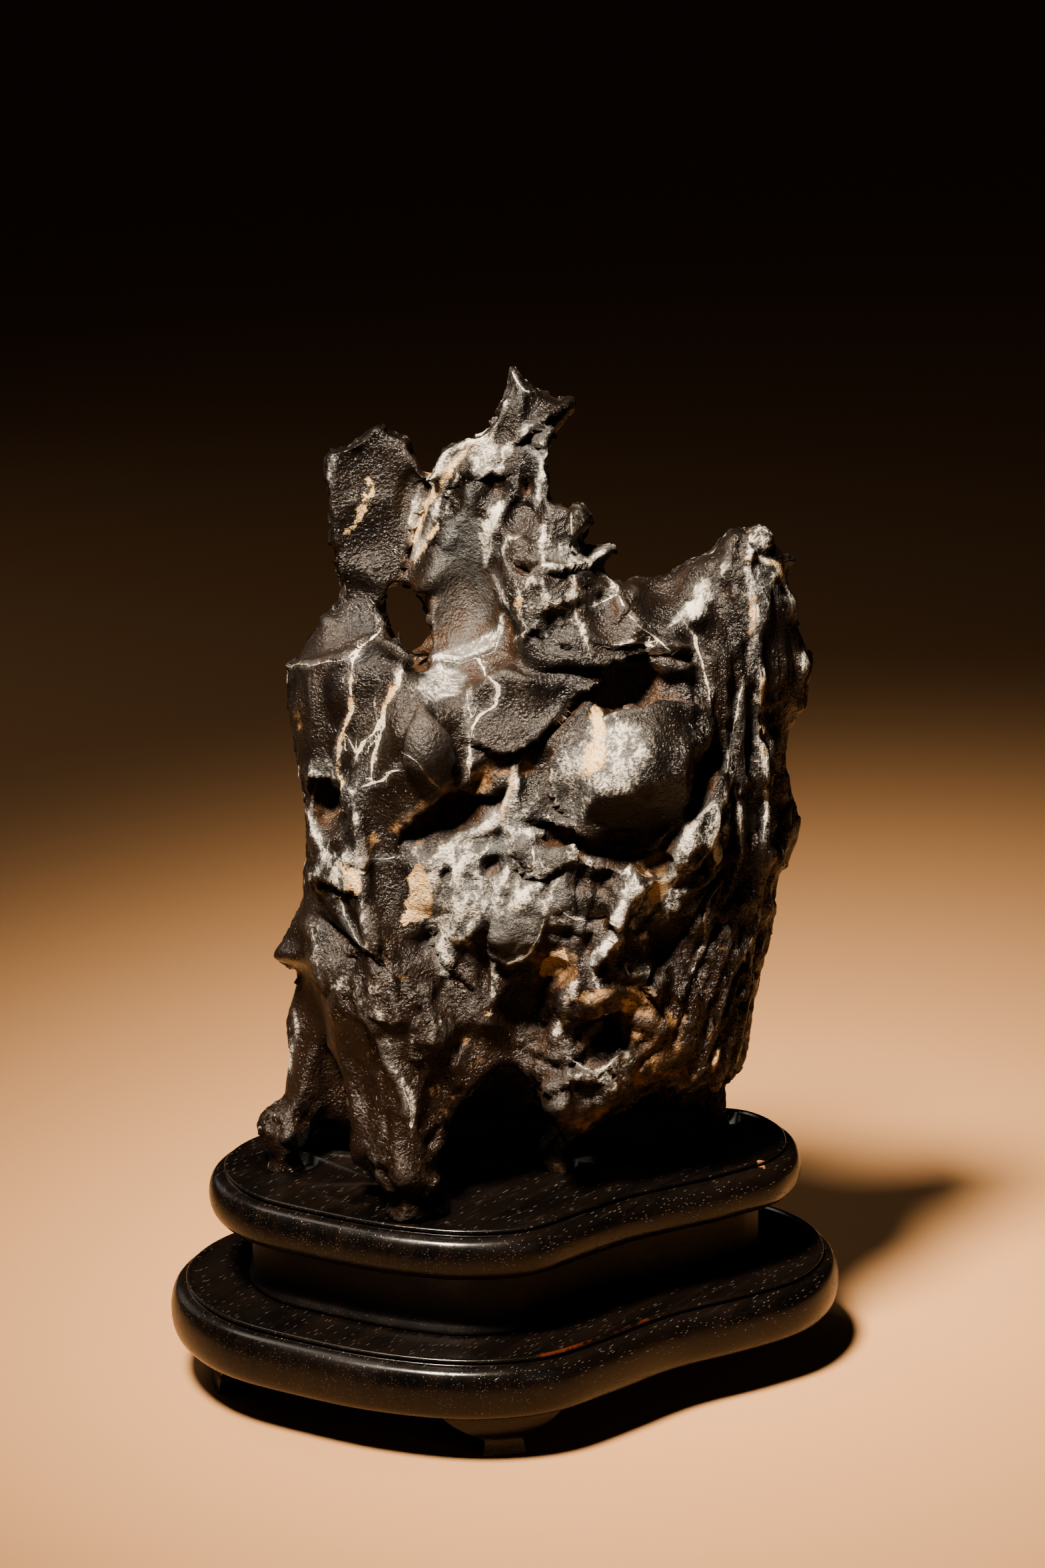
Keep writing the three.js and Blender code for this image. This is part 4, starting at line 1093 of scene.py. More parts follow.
# %% Wisps of bloom
WISPS = {
    "brow": (6, 1.0, [(763, 1265), (785, 1253), (808, 1249), (854, 1259), (880, 1288), (919, 1296)]),
    "brow, far end": (9, 0.8, [(919, 1296), (940, 1305), (958, 1330), (975, 1345)]),
    "cavity foot": (13, 1.0, [(640, 1300), (672, 1278), (717, 1246), (745, 1228), (763, 1213), (772, 1170)]),
    "centre flow": (13, 0.9, [(700, 1290), (690, 1330), (672, 1370), (655, 1410), (668, 1450), (678, 1480)]),
    "second flow": (8, 0.8, [(722, 1325), (712, 1350), (718, 1380), (708, 1400)]),
    "lobe": (14, 0.6, [(790, 1330), (775, 1350), (760, 1375)]),
    "right streak": (6, 1.0, [(866, 1316), (860, 1340), (857, 1362)]),
    "star": (5, 1.0, [(805, 1352), (810, 1366), (826, 1374), (845, 1384), (873, 1396)]),
    "thread by the cleft": (3.5, 0.9, [(738, 1438), (740, 1465), (734, 1500)]),
    "tongue": (11, 1.0, [(948, 1322), (938, 1350), (925, 1385), (912, 1410), (895, 1425)]),
    "tongue, tip": (6, 0.8, [(895, 1425), (882, 1450), (898, 1480)]),
    "tongue, left lobe": (8, 0.6, [(905, 1318), (925, 1330), (936, 1345)]),
    "pale ridge": (9, 1.0, [(1088, 1190), (1086, 1240), (1076, 1285), (1048, 1318)]),
    "pale ridge, left edge": (9, 0.9, [(1062, 1190), (1040, 1235), (1022, 1265), (1012, 1310), (985, 1342)]),
    "ridge foot": (13, 1.0, [(1012, 1318), (990, 1335), (965, 1360), (948, 1385)]),
    "fleck": (5, 0.9, [(955, 1408), (972, 1398)]),
    "strut": (7, 0.9, [(862, 1478), (852, 1500), (846, 1530), (838, 1548)]),
    "under the pit": (11, 0.45, [(850, 1575), (868, 1598), (893, 1604), (920, 1590), (926, 1575)]),
    "tooth": (14, 0.4, [(880, 1615), (890, 1640), (880, 1660)]),
    "beside the pit": (4, 0.9, [(925, 1560), (932, 1578), (948, 1592)]),
    "ridge streak": (10, 1.0, [(717, 654), (690, 680), (655, 708), (634, 735), (624, 775), (618, 835)]),
    "second ridge streak": (6, 0.9, [(668, 720), (650, 760), (636, 800), (626, 830)]),
    "spike rim": (4, 0.9, [(690, 712), (676, 735), (670, 770)]),
    "white column": (7, 1.1, [(773, 728), (762, 748), (744, 770), (732, 792), (726, 820), (726, 850)]),
    "trough rim": (5, 1.0, [(738, 862), (750, 890), (757, 915), (752, 945), (735, 968), (715, 982)]),
    "trough foot": (12, 1.1, [(655, 985), (685, 982), (715, 972), (738, 955)]),
    "trough wall": (16, 0.45, [(690, 800), (705, 850), (712, 900), (700, 950)]),
    "peak column": (12, 0.5, [(765, 565), (757, 600), (750, 640), (735, 680)]),
    "under the peak": (12, 0.8, [(775, 665), (760, 680), (745, 700)]),
    "right column": (6, 0.9, [(790, 672), (800, 680), (812, 676), (818, 700), (810, 720)]),
    "right column, low": (6, 0.7, [(812, 720), (806, 745), (800, 760)]),
    "dish edge": (5, 1.0, [(812, 790), (811, 812), (816, 849), (840, 858), (868, 852), (900, 832)]),
    "dome rim": (3.5, 0.9, [(778, 803), (758, 810), (754, 828), (757, 845)]),
    "block seam": (4, 0.66, [(785, 872), (778, 890), (782, 915), (778, 930), (790, 948), (775, 960)]),
    "block seam, right": (4, 1.0, [(862, 862), (866, 895), (868, 924), (880, 969)]),
    "tent thread": (4, 0.9, [(913, 865), (922, 885), (905, 900), (890, 908)]),
    "second vein": (7, 0.55, [(605, 990), (598, 1015), (588, 1040), (578, 1062)]),
    "third band": (7, 0.5, [(526, 1104), (533, 1133), (529, 1162), (526, 1199), (533, 1235)]),
    "fold light": (3, 0.5, [(533, 1235), (540, 1283), (544, 1345), (550, 1418)]),
    "fan column": (7, 0.7, [(703, 1030), (702, 1070), (704, 1120), (700, 1170)]),
    "fan column, branch": (4, 0.6, [(722, 1000), (745, 1035), (728, 1062), (708, 1090)]),
    "fan hem": (3, 0.6, [(742, 1128), (773, 1125), (800, 1112)]),
    "under the fan": (8, 0.85, [(772, 1135), (770, 1165), (768, 1200)]),
    "horn tongue": (8, 0.85, [(1122, 850), (1126, 890), (1134, 925), (1132, 955), (1120, 990)]),
    "horn tongue, right": (6, 0.7, [(1158, 900), (1146, 930), (1134, 960), (1120, 990)]),
    "horn crust, edge": (6, 1.0, [(1090, 845), (1062, 880), (1040, 905), (1022, 925), (1004, 942)]),
    "horn ring": (4, 0.9, [(1123, 798), (1121, 834), (1147, 844), (1165, 855), (1179, 883)]),
    "horn strip": (4, 0.9, [(1178, 850), (1184, 885), (1192, 905), (1188, 935)]),
    "flank line": (3, 0.7, [(1147, 1000), (1146, 1060), (1143, 1123), (1148, 1160), (1144, 1200),
                            (1146, 1262)]),
    "second flank line": (3, 0.6, [(1112, 1031), (1098, 1074), (1087, 1159)]),
    "third flank line": (3, 0.6, [(1107, 1145), (1112, 1194), (1113, 1275)]),
    "leg band": (15, 0.48, [(455, 1388), (480, 1420), (486, 1452), (512, 1482), (548, 1506), (580, 1532),
                            (588, 1570), (590, 1600)]),
    "leg band, lower": (4, 0.6, [(597, 1600), (606, 1625), (614, 1640), (616, 1665), (617, 1685)]),
    "boss flecks": (5, 0.5, [(616, 1580), (618, 1540), (640, 1518), (664, 1530)]),
    "left strip": (7, 0.9, [(462, 1222), (472, 1248), (484, 1275), (494, 1300)]),
    "left strip, second": (5, 0.9, [(466, 1322), (482, 1300), (505, 1280)]),
    "spike thread": (2.5, 0.6, [(508, 1340), (518, 1375), (532, 1405), (560, 1432)]),
    "rear leg edge": (4, 0.7, [(438, 1516), (443, 1543), (438, 1580), (433, 1613)]),
    "boulder spray, low": (16, 0.7, [(948, 1130), (925, 1170), (902, 1205), (892, 1232)]),
    "leg band, upper": (7, 0.45, [(520, 1465), (560, 1480), (590, 1490), (600, 1530)]),
}

# %% Bare places and painted shade
BARE_AND_SHADED = {
    "spike": (700, 706, 9, 16, 0, 1.0),
    "panel under the spike": (697, 765, 15, 42, 6, 0.9),
    "under the white mass": (752, 735, 20, 17, 0, 0.9),
    "right of the column": (768, 776, 12, 24, 0, 0.9),
    "dark dome": (783, 818, 17, 15, 0, 1.0),
    "black hollow": (784, 850, 17, 14, 0, 1.0),
    "dark hole": (789, 732, 8, 13, 0, 1.0),
    "block facet": (838, 878, 20, 17, 0, 0.9),
    "peak facet": (804, 608, 22, 26, 10, 0.7),
    "tent": (915, 935, 24, 36, -15, 0.8),
    "knuckle": (791, 1279, 16, 17, 0, 0.85),
    "second knuckle": (830, 1284, 17, 21, 0, 0.85),
    "hollow in the centre": (736, 1296, 19, 20, 0, 1.0),
    "small pit": (672, 1311, 8, 13, 0, 0.9),
    "petal": (772, 1408, 35, 33, 0, 0.75),
    "cleft": (729, 1440, 5, 60, 0, 1.0),
    "dark facet": (845, 1342, 13, 36, 10, 0.8),
    "second dark facet": (872, 1378, 20, 18, 0, 0.7),
    "holes by the petal": (842, 1404, 24, 12, 0, 1.0),
    "leathery foot": (700, 1465, 22, 34, 0, 0.8),
    "hollow of the tongue": (903, 1378, 11, 22, 20, 1.0),
    "tongue hole": (905, 1448, 9, 14, 0, 1.0),
    "pale ridge facet": (1057, 1292, 16, 18, 20, 1.0),
    "boulder, lower face": (930, 1226, 60, 32, 5, 0.9),
    "boulder, right face": (1016, 1130, 34, 60, 0, 0.7),
    "boulder, left cleft": (803, 1150, 14, 60, 14, 1.0),
    "left facet": (478, 1345, 22, 28, 0, 0.9),
    "pale ridge mark": (1059, 1235, 7, 15, 10, 0.9),
    "horn cleft": (1109, 815, 7, 13, 0, 1.0),
    "left knob": (1100, 806, 9, 16, 0, 0.7),
    "horn groove": (1105, 975, 9, 42, 0, 1.0),
    "shaded V": (1058, 960, 22, 20, 0, 0.8),
    "panel": (577, 1285, 20, 66, 0, 0.9),
}

# %% Ochre and dust
OCHRE = {
    "pit side": (975, 1555, 52, 70, -10, 0.95),
    "flank, low": (1045, 1530, 64, 100, 12, 0.42),
    "flank, middle": (1090, 1400, 60, 90, 16, 0.25),
    "pit roof": (930, 1498, 52, 22, 0, 0.8),
    "pit": (890, 1545, 34, 36, 0, 0.55),
    "cave": (830, 1450, 40, 34, 0, 1.1),
    "gap": (985, 1298, 40, 22, 0, 0.7),
    "cavity roof": (680, 1196, 110, 24, -25, 0.95),
    "cavity": (672, 1240, 52, 38, -30, 0.6),
    "left cave": (492, 1225, 22, 46, -5, 0.2),
    "leg, upper": (575, 1440, 54, 56, 20, 0.4),
    "leg, face": (560, 1640, 44, 110, 0, 0.25),
    "leg, right": (660, 1660, 40, 100, 10, 0.4),
    "leg toe": (610, 1790, 50, 50, 0, 0.25),
    "tooth": (870, 1685, 56, 26, -15, 0.75),
    "upright fold": (545, 1310, 12, 130, -3, 0.55),
    "lip under the boulder": (920, 1262, 110, 16, 8, 0.6),
    "beside the boulder": (1050, 1170, 24, 70, 18, 0.6),
    "ear": (845, 612, 24, 18, 0, 0.4),
    "left edge": (445, 1130, 14, 110, 0, 0.35),
    "hem": (1010, 1620, 80, 18, 0, 0.7),
    "mid foot": (835, 1735, 30, 40, 0, 0.6),
    "right foot": (1070, 1655, 24, 40, 0, 0.7),
    "window wall": (650, 930, 12, 50, 0, 0.4),
    "arch shoulder": (715, 1570, 50, 40, 0, 0.4),
    "pit ring": (920, 1505, 60, 26, -10, 0.9),
    "shaded web": (740, 1650, 60, 60, 0, 0.4),
    "ring pit floor": (896, 1548, 20, 22, 20, 1.0),
}
DUSTED = {
    "trough": (692, 900, 58, 104, 8, 0.6),
    "trough, upper end": (690, 812, 30, 50, 15, 0.6),
    "fan": (800, 1040, 110, 52, -6, 0.18),
    "pebble": (641, 1115, 38, 56, -12, 0.2),
    "block": (830, 930, 50, 50, 0, 0.3),
    "boulder side": (985, 1150, 50, 70, 0, 0.1),
    "centre": (760, 1340, 130, 100, 0, 0.45),
    "tooth": (850, 1640, 50, 50, 0, 0.2),
}

# %% The soft amounts on the vertices
SKIRT = 0.45


def soft_lines(lines):
    """The strongest of some soft bands: (half width in pixels, amount, points)."""
    most = np.zeros(skin.count)
    for half_width, amount, points in lines.values():
        gap, along = line_distance(points, line_spots)
        wide = half_width * np.sqrt(np.clip(6 * along * (1 - along), 0.3, 1))
        inside = -np.abs(gap) / wide * (1 + 0.5 * skin.ripple)
        most = np.maximum(most, amount * smooth_step(inside, -1.7, -0.4))
        most = np.maximum(most, SKIRT * amount * smooth_step(inside, -3.8, -1.0))
    return most


# Bare places take the bloom away: bare stone, and painted shade in recesses and on facets turned from the
# light.
bloom = np.maximum(soft_paint(BLOOM, SKIRT), soft_lines(WISPS)) * (1 - soft_paint(BARE_AND_SHADED)) * skin.shown
dusted = soft_paint(DUSTED) * skin.shown
ochre = soft_paint(OCHRE) * skin.shown
behind = 1 - smooth_step(skin.shown, *HALF_SHOWN)
band = smooth_step(skin.noise(21, 4.4), 0.02, 0.42)
bloom += 0.75 * band * behind
ochre += (0.5 * smooth_step(swell, 0.05, 0.4) + 0.3 * fluted) * behind
print("bloom covers", round(float((bloom > 0.5).mean()), 3), "of the stone")

# %% [markdown]
# ## Crests and hollows
#
# Hands rub the crests pale. A crest stands outside the relaxed
# surface. How deep a place lies is measured with a few rays, spread evenly over all directions: the
# share of them that meets the stone again within a short way. That share paints shade into the
# recesses: it keeps bloom and dust out of them and tints the deepest brown. The shader has no such
# measure that stays with the mesh, so both are numbers on the vertices too.

# %% Crests and hollows as numbers
RAYS = 16
RAY_LENGTH = 26 * MM
STEEPEST = 0.15
START_OFF = 0.5 * MM
CREST_GAIN = 0.8
normal = skin.normals(0)
bulge = ((skin.place - skin.relaxed(skin.place, 12)) * normal).sum(1) / MM
crest = np.clip(0.5 + bulge * CREST_GAIN, 0, 1)
golden_turn = math.pi * (3 - math.sqrt(5))
rays = []
for k in range(RAYS):
    up = 1 - (2 * k + 1) / RAYS
    level = math.sqrt(1 - up * up)
    rays.append(Vector((level * math.cos(k * golden_turn), level * math.sin(k * golden_turn), up)))
tree = BVHTree.FromPolygons(skin.place.tolist(), skin.quads.tolist())
lifted = (skin.place + normal * START_OFF).tolist()
blocked = np.zeros(skin.count)
cast = np.zeros(skin.count)
for ray in rays:
    for i in np.nonzero(normal @ np.array(ray) > STEEPEST)[0].tolist():
        cast[i] += 1
        if tree.ray_cast(lifted[i], ray, RAY_LENGTH)[0] is not None:
            blocked[i] += 1
hollow = skin.relaxed(blocked / np.maximum(cast, 1), 2)
print("mean share of blocked rays", round(float(hollow.mean()), 3))

# %% Writing the shape and the paint to the mesh
skin.write()
stone = skin.obj
painted = {"vein_edge": vein_edge, "vein_side": vein_side, "vein_width": vein_width,
           "crust_edge": crust_edge, "bloom": bloom, "dusted": dusted, "ochre": ochre,
           "crest": crest, "hollow": hollow, "behind": behind, "fluted": fluted, "craggy": craggy}
for name, values in painted.items():
    layer = skin.mesh.attributes.new(name, "FLOAT", "POINT")
    layer.data.foreach_set("value", values.astype(np.float32))
skin.mesh.shade_smooth()
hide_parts("stone")
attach(stone, "root")
print("the stone has", 2 * len(skin.quads), "triangles")

# %% [markdown]
# ## Materials as sums
#
# A material is easier to read as arithmetic than as a picture of nodes. The class below wraps one
# output socket. Python's own signs then add Math nodes, and one method makes any other node.

# %% A socket that can stand in a sum
class Wire:
    """One output of a material's node tree, which Python arithmetic can use."""

    def __init__(self, socket):
        self.socket = socket

    def node(self, kind, settings, values, output=0):
        """A node of any kind in the same tree: its settings first, then what its sockets get."""
        made = self.socket.id_data.nodes.new(kind)
        for name, value in settings.items():
            setattr(made, name, value)
        for name, value in values.items():
            if isinstance(value, Wire):
                self.socket.id_data.links.new(value.socket, made.inputs[name])
            else:
                made.inputs[name].default_value = value
        return Wire(made.outputs[output])

    def math(self, operation, first, second=0.0):
        return self.node("ShaderNodeMath", {"operation": operation}, {0: first, 1: second})

    def __add__(self, other):
        return self.math("ADD", self, other)

    def __mul__(self, other):
        return self.math("MULTIPLY", self, other)

    def __sub__(self, other):
        return self.math("SUBTRACT", self, other)

    def __rsub__(self, other):
        return self.math("SUBTRACT", other, self)

    __radd__ = __add__
    __rmul__ = __mul__

    def size(self):
        return self.math("ABSOLUTE", self)

    def most(self, other):
        return self.math("MAXIMUM", self, other)

    def rise(self, low, high):
        """0 below low, 1 above high and smooth between. With low above high it falls instead."""
        if low > high:
            return 1 - self.rise(high, low)
        return self.node("ShaderNodeMapRange", {"interpolation_type": "SMOOTHSTEP"},
                         {"Value": self, "From Min": low, "From Max": high})

    def tint(self, under, over):
        """The colour under where this is 0 and the colour over where it is 1."""
        return self.node("ShaderNodeMix", {"data_type": "RGBA"}, {0: self, 6: under, 7: over}, 2)

    def scaled(self, x, y, z, turn=0.0):
        """Coordinates multiplied along each axis, after a turn about the Z axis."""
        values = {"Vector": self, "Scale": (x, y, z), "Rotation": (0, 0, turn)}
        return self.node("ShaderNodeMapping", {}, values)

    def leaning(self, angle):
        """Coordinates turned about the Y axis."""
        return self.node("ShaderNodeMapping", {}, {"Vector": self, "Rotation": (0, angle, 0)})

    def grain(self, scale, detail=3.0, rough=0.55, bend=0.0):
        return self.node("ShaderNodeTexNoise", {}, {"Vector": self, "Scale": scale, "Detail": detail,
                                                    "Roughness": rough, "Distortion": bend})

    def cells(self, scale):
        """Distance to the nearest of scattered points, 0 to about 0.9 cells."""
        return self.node("ShaderNodeTexVoronoi", {}, {"Vector": self, "Scale": scale})

    def facets(self, scale):
        """Scattered cells, each a flat facet with a tilt of its own, in mm."""
        cell = self.node("ShaderNodeTexVoronoi", {}, {"Vector": self, "Scale": scale}, "Position")
        tilt = self.node("ShaderNodeTexVoronoi", {}, {"Vector": self, "Scale": scale}, "Color")
        rel = self.node("ShaderNodeVectorMath", {"operation": "SUBTRACT"}, {0: self, 1: cell})
        lean = self.node("ShaderNodeVectorMath", {"operation": "SUBTRACT"}, {0: tilt, 1: (0.5, 0.5, 0.5)})
        dot = rel.node("ShaderNodeVectorMath", {"operation": "DOT_PRODUCT"}, {0: rel, 1: lean}, "Value")
        return dot * (1 / MM)

    def bent(self, scale, amount):
        """Coordinates pushed about by noise, by up to about an amount in metres."""
        drift = self.node("ShaderNodeTexNoise", {}, {"Vector": self, "Scale": scale, "Detail": 2.0}, "Color")
        settings = {"operation": "MULTIPLY_ADD"}
        return self.node("ShaderNodeVectorMath", settings, {0: drift, 1: (4 * amount,) * 3, 2: self})


def new_finish(name):
    """A material with its shader, and a wire that carries Object coordinates."""
    material = bpy.data.materials.new(name)
    material.use_nodes = True
    shader = material.node_tree.nodes["Principled BSDF"]
    coordinates = material.node_tree.nodes.new("ShaderNodeTexCoord")
    return material, shader, Wire(coordinates.outputs["Object"])


def attribute(wire, name):
    return wire.node("ShaderNodeAttribute", {"attribute_name": name}, {}, "Fac")


def feed(shader, name, wire):
    wire.socket.id_data.links.new(wire.socket, shader.inputs[name])


def bump(shader, height, distance):
    made = height.node("ShaderNodeBump", {}, {"Height": height, "Distance": distance, "Strength": 1.0})
    feed(shader, "Normal", made)

# %% [markdown]
# ## The limestone
#
# Polished limestone is a satin near-black. In its hollows it is painted brown and kept free of
# bloom, which is painted shade. Bloom is a thin, dry and grainy coat, so it takes the shine away.
# Its edge follows the painted amount, broken up by noise, and what is painted is only where it
# lies. A vein is thinner than the spacing of the vertices, so its distance is kept with a side: the
# value passes through zero between two vertices, and the shader finds the line there. On the sides
# and the back, veins are the thin bands where a stretched noise passes through its middle value.

# %% The stone's patterns
BLACK = (0.0052, 0.0041, 0.0036, 1)
BROWN_BLACK = (0.0110, 0.0074, 0.0054, 1)
HOLLOW_SHADE_BROWN = (0.0340, 0.0180, 0.0095, 1)
FLOOR_LIGHT_BROWN = (0.0110, 0.0058, 0.0034, 1)
GREY = (0.056, 0.050, 0.046, 1)
BLUE_GREY = (0.070, 0.073, 0.075, 1)
BLUE_DUST = (0.098, 0.100, 0.099, 1)
SILVER = (0.150, 0.147, 0.138, 1)
WHITE = (0.43, 0.40, 0.345, 1)
BEIGE = (0.44, 0.31, 0.175, 1)
OCHRE_BROWN = (0.036, 0.020, 0.011, 1)
OCHRE_LIGHT = (0.20, 0.112, 0.048, 1)

limestone, shader, at = new_finish("limestone")
bent = at.bent(150, 1.6 * MM)
patches = at.grain(60, 4, 0.6)
mottle = at.grain(260, 4, 0.65)
speckle = at.grain(1300, 3, 0.7)
drawn = bent.scaled(1, 1, 0.6)
crag = drawn.cells(185)
chip = drawn.cells(430)
bloom_amount = attribute(at, "bloom")
ochre_amount = attribute(at, "ochre")
crest_amount = attribute(at, "crest")
hollow_shade = attribute(at, "hollow")
is_behind = attribute(at, "behind")
is_fluted = attribute(at, "fluted")
is_craggy = attribute(at, "craggy")

# %% Bloom, veins, crust and stain
edges = (crag - 0.45) * 0.9 + (chip - 0.45) * 0.6
flow = bent.scaled(1, 1, 0.4).grain(420, 4, 0.62, 0.5)
uneven = (mottle - 0.5) * (0.8 + is_craggy) + (speckle - 0.5) * 1.3 + (flow - 0.5) * 1.6
# Painted shade: the share of blocked rays keeps bloom (through raised) and dust out of the recesses.
raised = (crest_amount - 0.5) * 0.5 + edges * is_craggy * 0.7 - hollow_shade * 0.5
dusted_amount = attribute(at, "dusted")
dust = (dusted_amount + uneven * 0.3 - (hollow_shade - 0.2) * 0.4).rise(0.1, 1.1)
dust = dust * dusted_amount.rise(0.02, 0.2)
haze = (bloom_amount + uneven * 0.5 + raised * 0.4).rise(0.12, 0.95) * bloom_amount.rise(0.04, 0.25)
mist = (bloom_amount + (mottle - 0.5) * 0.5 + raised * 0.3).rise(0.5, 1.2)
chalk = (bloom_amount * 0.9 + uneven * 1.25 + raised).rise(0.5, 1.15) * bloom_amount.rise(0.2, 0.5)
rub = (crest_amount + edges * 0.4).rise(0.7, 1.05) * patches.rise(0.4, 0.6)

fine_uneven = (mottle - 0.5) * 1.0 + (speckle - 0.5) * 0.9
near_line = attribute(at, "vein_edge")
swelling = at.grain(210, 3, 0.6).rise(0.35, 0.7) * 1.6 + 0.1
thread = attribute(at, "vein_side").size() - attribute(at, "vein_width") * swelling + fine_uneven * 0.7
thread = thread.rise(0.1, -0.06) * near_line.rise(1.5, 1.0)
halo = (near_line * 0.5 + (mottle - 0.5) * 2.4 + (speckle - 0.5)).rise(0.6, 0.0)
splash = (near_line * 0.6 + (mottle - 0.5) * 3.0 + (speckle - 0.5) * 1.6).rise(-0.16, -0.36)
strung = at.scaled(1, 1, 0.34).grain(34, 3, 0.55, 0.5)
hair = (strung - 0.5).size().rise(0.011, 0.003) * at.grain(30, 2).rise(0.5, 0.62)
crossing = at.scaled(1, 1, 0.6).grain(52, 3, 0.5, 0.8)
second_hair = (crossing - 0.5).size().rise(0.008, 0.002) * at.grain(24, 2).rise(0.52, 0.6)
vein = thread.most(splash * 0.8).most(hair.most(second_hair) * is_behind.rise(0.3, 0.9))

crust_gap = attribute(at, "crust_edge") + (mottle - 0.5) * 4.0 + (speckle - 0.5) * 2.4
crust = crust_gap.rise(0.2, -0.25)
stain = ochre_amount + (mottle - 0.5) * 1.2 + (patches - 0.5) * 0.9 - (crest_amount - 0.5) * 0.4
stain = stain.rise(0.25, 1.0)
aslant = at.leaning(-0.55).scaled(1, 1, 0.13).grain(460, 4, 0.65, 0.5)
stained_flank = is_fluted * ochre_amount.rise(0.1, 0.4)
stain = (stain + (aslant - 0.5) * stained_flank * 2.4).rise(0.1, 0.9)

# %% The stone's finish
POLISHED = 0.22
POLISH_SHINE = 0.29
ground = patches.rise(0.38, 0.66).tint(BLACK, BROWN_BLACK)
# Painted light: towards the bottom the stone is tinted brown, for the warm light that the floor throws up
# onto it.
floor_light_below = at.node("ShaderNodeSeparateXYZ", {}, {"Vector": at}, "Z").rise(0.15, 0.075)
ground = (floor_light_below * (0.5 + mottle * 0.5)).tint(ground, FLOOR_LIGHT_BROWN)
# Painted shade: the deepest recesses, by the share of blocked rays, are tinted brown.
ground = hollow_shade.rise(0.3, 0.8).tint(ground, HOLLOW_SHADE_BROWN)
ground = (stain * 0.8).tint(ground, mottle.rise(0.45, 0.68).tint(OCHRE_BROWN, OCHRE_LIGHT))
ground = (rub * 0.3).tint(ground, GREY)
cool = at.grain(45, 2).rise(0.42, 0.6)
ground = (dust * 0.9).tint(ground, BLUE_DUST)
ground = (haze.most(halo * 0.7) * 0.6).tint(ground, cool.tint(GREY, BLUE_GREY))
ground = (mist * 0.5).tint(ground, SILVER)
ground = (chalk * 0.85).tint(ground, (flow * 0.6 + speckle * 0.4).rise(0.36, 0.54).tint(SILVER, WHITE))
specks = bent.cells(900).rise(0.22, 0.08) * at.grain(200, 2).rise(0.5, 0.64)
ground = (specks * 0.4).tint(ground, WHITE)
ground = (vein * 0.85).tint(ground, speckle.rise(0.28, 0.5).tint(BEIGE, WHITE))
ground = (crust * 0.85).tint(ground, (speckle * 0.6 + mottle * 0.4).rise(0.34, 0.52).tint(OCHRE_LIGHT, BEIGE))
feed(shader, "Base Color", ground)

dry = haze.most(mist).most(chalk).most(vein).most(crust).most(dust)
gloss = POLISHED + (mottle - 0.5) * 0.22 + (patches - 0.5) * 0.3
feed(shader, "Roughness", gloss + dry * 0.34 + stain * 0.14 + hollow_shade * 0.15)
shader.inputs["Specular IOR Level"].default_value = POLISH_SHINE

upright = at.scaled(1, 1, 0.16).grain(520, 3, 0.6, 0.4)
streaks = aslant * stained_flank + upright * (1 - stained_flank)
leather = bent.cells(1050)
height = (crag * crag * 0.5 + drawn.facets(150) * 0.5 + drawn.facets(360) * 0.4) * is_craggy
height = height * (1 - is_fluted * 0.5)
height = height + (mottle - 0.5) * (0.12 + is_craggy * 0.5) + (speckle - 0.5) * 0.5 + leather * 0.16
height = height + streaks * (is_fluted * 1.5 + 0.1) + crust * 0.3 + vein * 0.15 + dry * speckle * 0.2
bump(shader, height, MM)
skin.mesh.materials.clear()
skin.mesh.materials.append(limestone)
print("limestone has", len(limestone.node_tree.nodes), "nodes")

# %% [markdown]
# ## The stand's plan
#
# The two boards and the wall between them share one bent outline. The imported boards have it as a
# ring of 50 points along their raised bead. A round outline is a sum of waves, so the ring is
# taken apart with a Fourier transform and put together again with more points, which gives a
# smooth line through the same points, and its exact direction too. A curve through the 50 points
# would do as well, but its direction would have to be measured.
#
# At the front right the real outline has a shallow hollow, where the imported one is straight. So
# each ring is first pressed in a little there, at a place given in the picture.

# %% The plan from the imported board
RING_POINTS = 240
SAME_LEVEL = 0.01 * MM
DENT_DEPTH = 2.2 * MM
DENT_REACH = 19 * MM
UPPER_DENT = (955, 1815)
LOWER_DENT = (1000, 1995)
lower_low, lower_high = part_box("stand_lower_board")
upper_low, upper_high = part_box("stand_upper_board")
waist_low, waist_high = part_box("stand_waist")


def bead_ring(node):
    """The ring of the board's highest points, in order round it, as complex numbers x + iy."""
    mesh = merged_copy(node)
    points = np.array([v.co for v in mesh.vertices])
    top = points[points[:, 2] > points[:, 2].max() - SAME_LEVEL]
    ring = top[:, 0] + 1j * top[:, 1]
    return ring[np.argsort(np.angle(ring))]


def fine_ring(ring):
    """The same closed line with RING_POINTS points, and its outward unit normals."""
    waves = np.fft.fft(ring) / len(ring)
    order = np.fft.fftfreq(len(ring), 1 / len(ring))
    turn = np.exp(2j * np.pi * np.outer(np.arange(RING_POINTS) / RING_POINTS, order))
    line = turn @ waves
    along_line = turn @ (waves * 1j * order)
    outward = -1j * along_line / np.abs(along_line)
    return line, outward


def dented(ring, height, spot):
    """The ring pressed in gently where the outline hollows, near a place in the picture."""
    places = np.stack([ring.real, ring.imag, np.full(len(ring), height)], 1)
    nearest = ring[np.linalg.norm(in_picture(places)[0] - spot, axis=1).argmin()]
    inward = -nearest / abs(nearest)
    return ring + inward * DENT_DEPTH * np.exp(-(np.abs(ring - nearest) / DENT_REACH) ** 2)


lower_bead, lower_out = fine_ring(dented(bead_ring("stand_lower_board"), lower_high.z, LOWER_DENT))
upper_bead, upper_out = fine_ring(dented(bead_ring("stand_upper_board"), upper_high.z, UPPER_DENT))
print("the bead of the lower board has", RING_POINTS, "points")

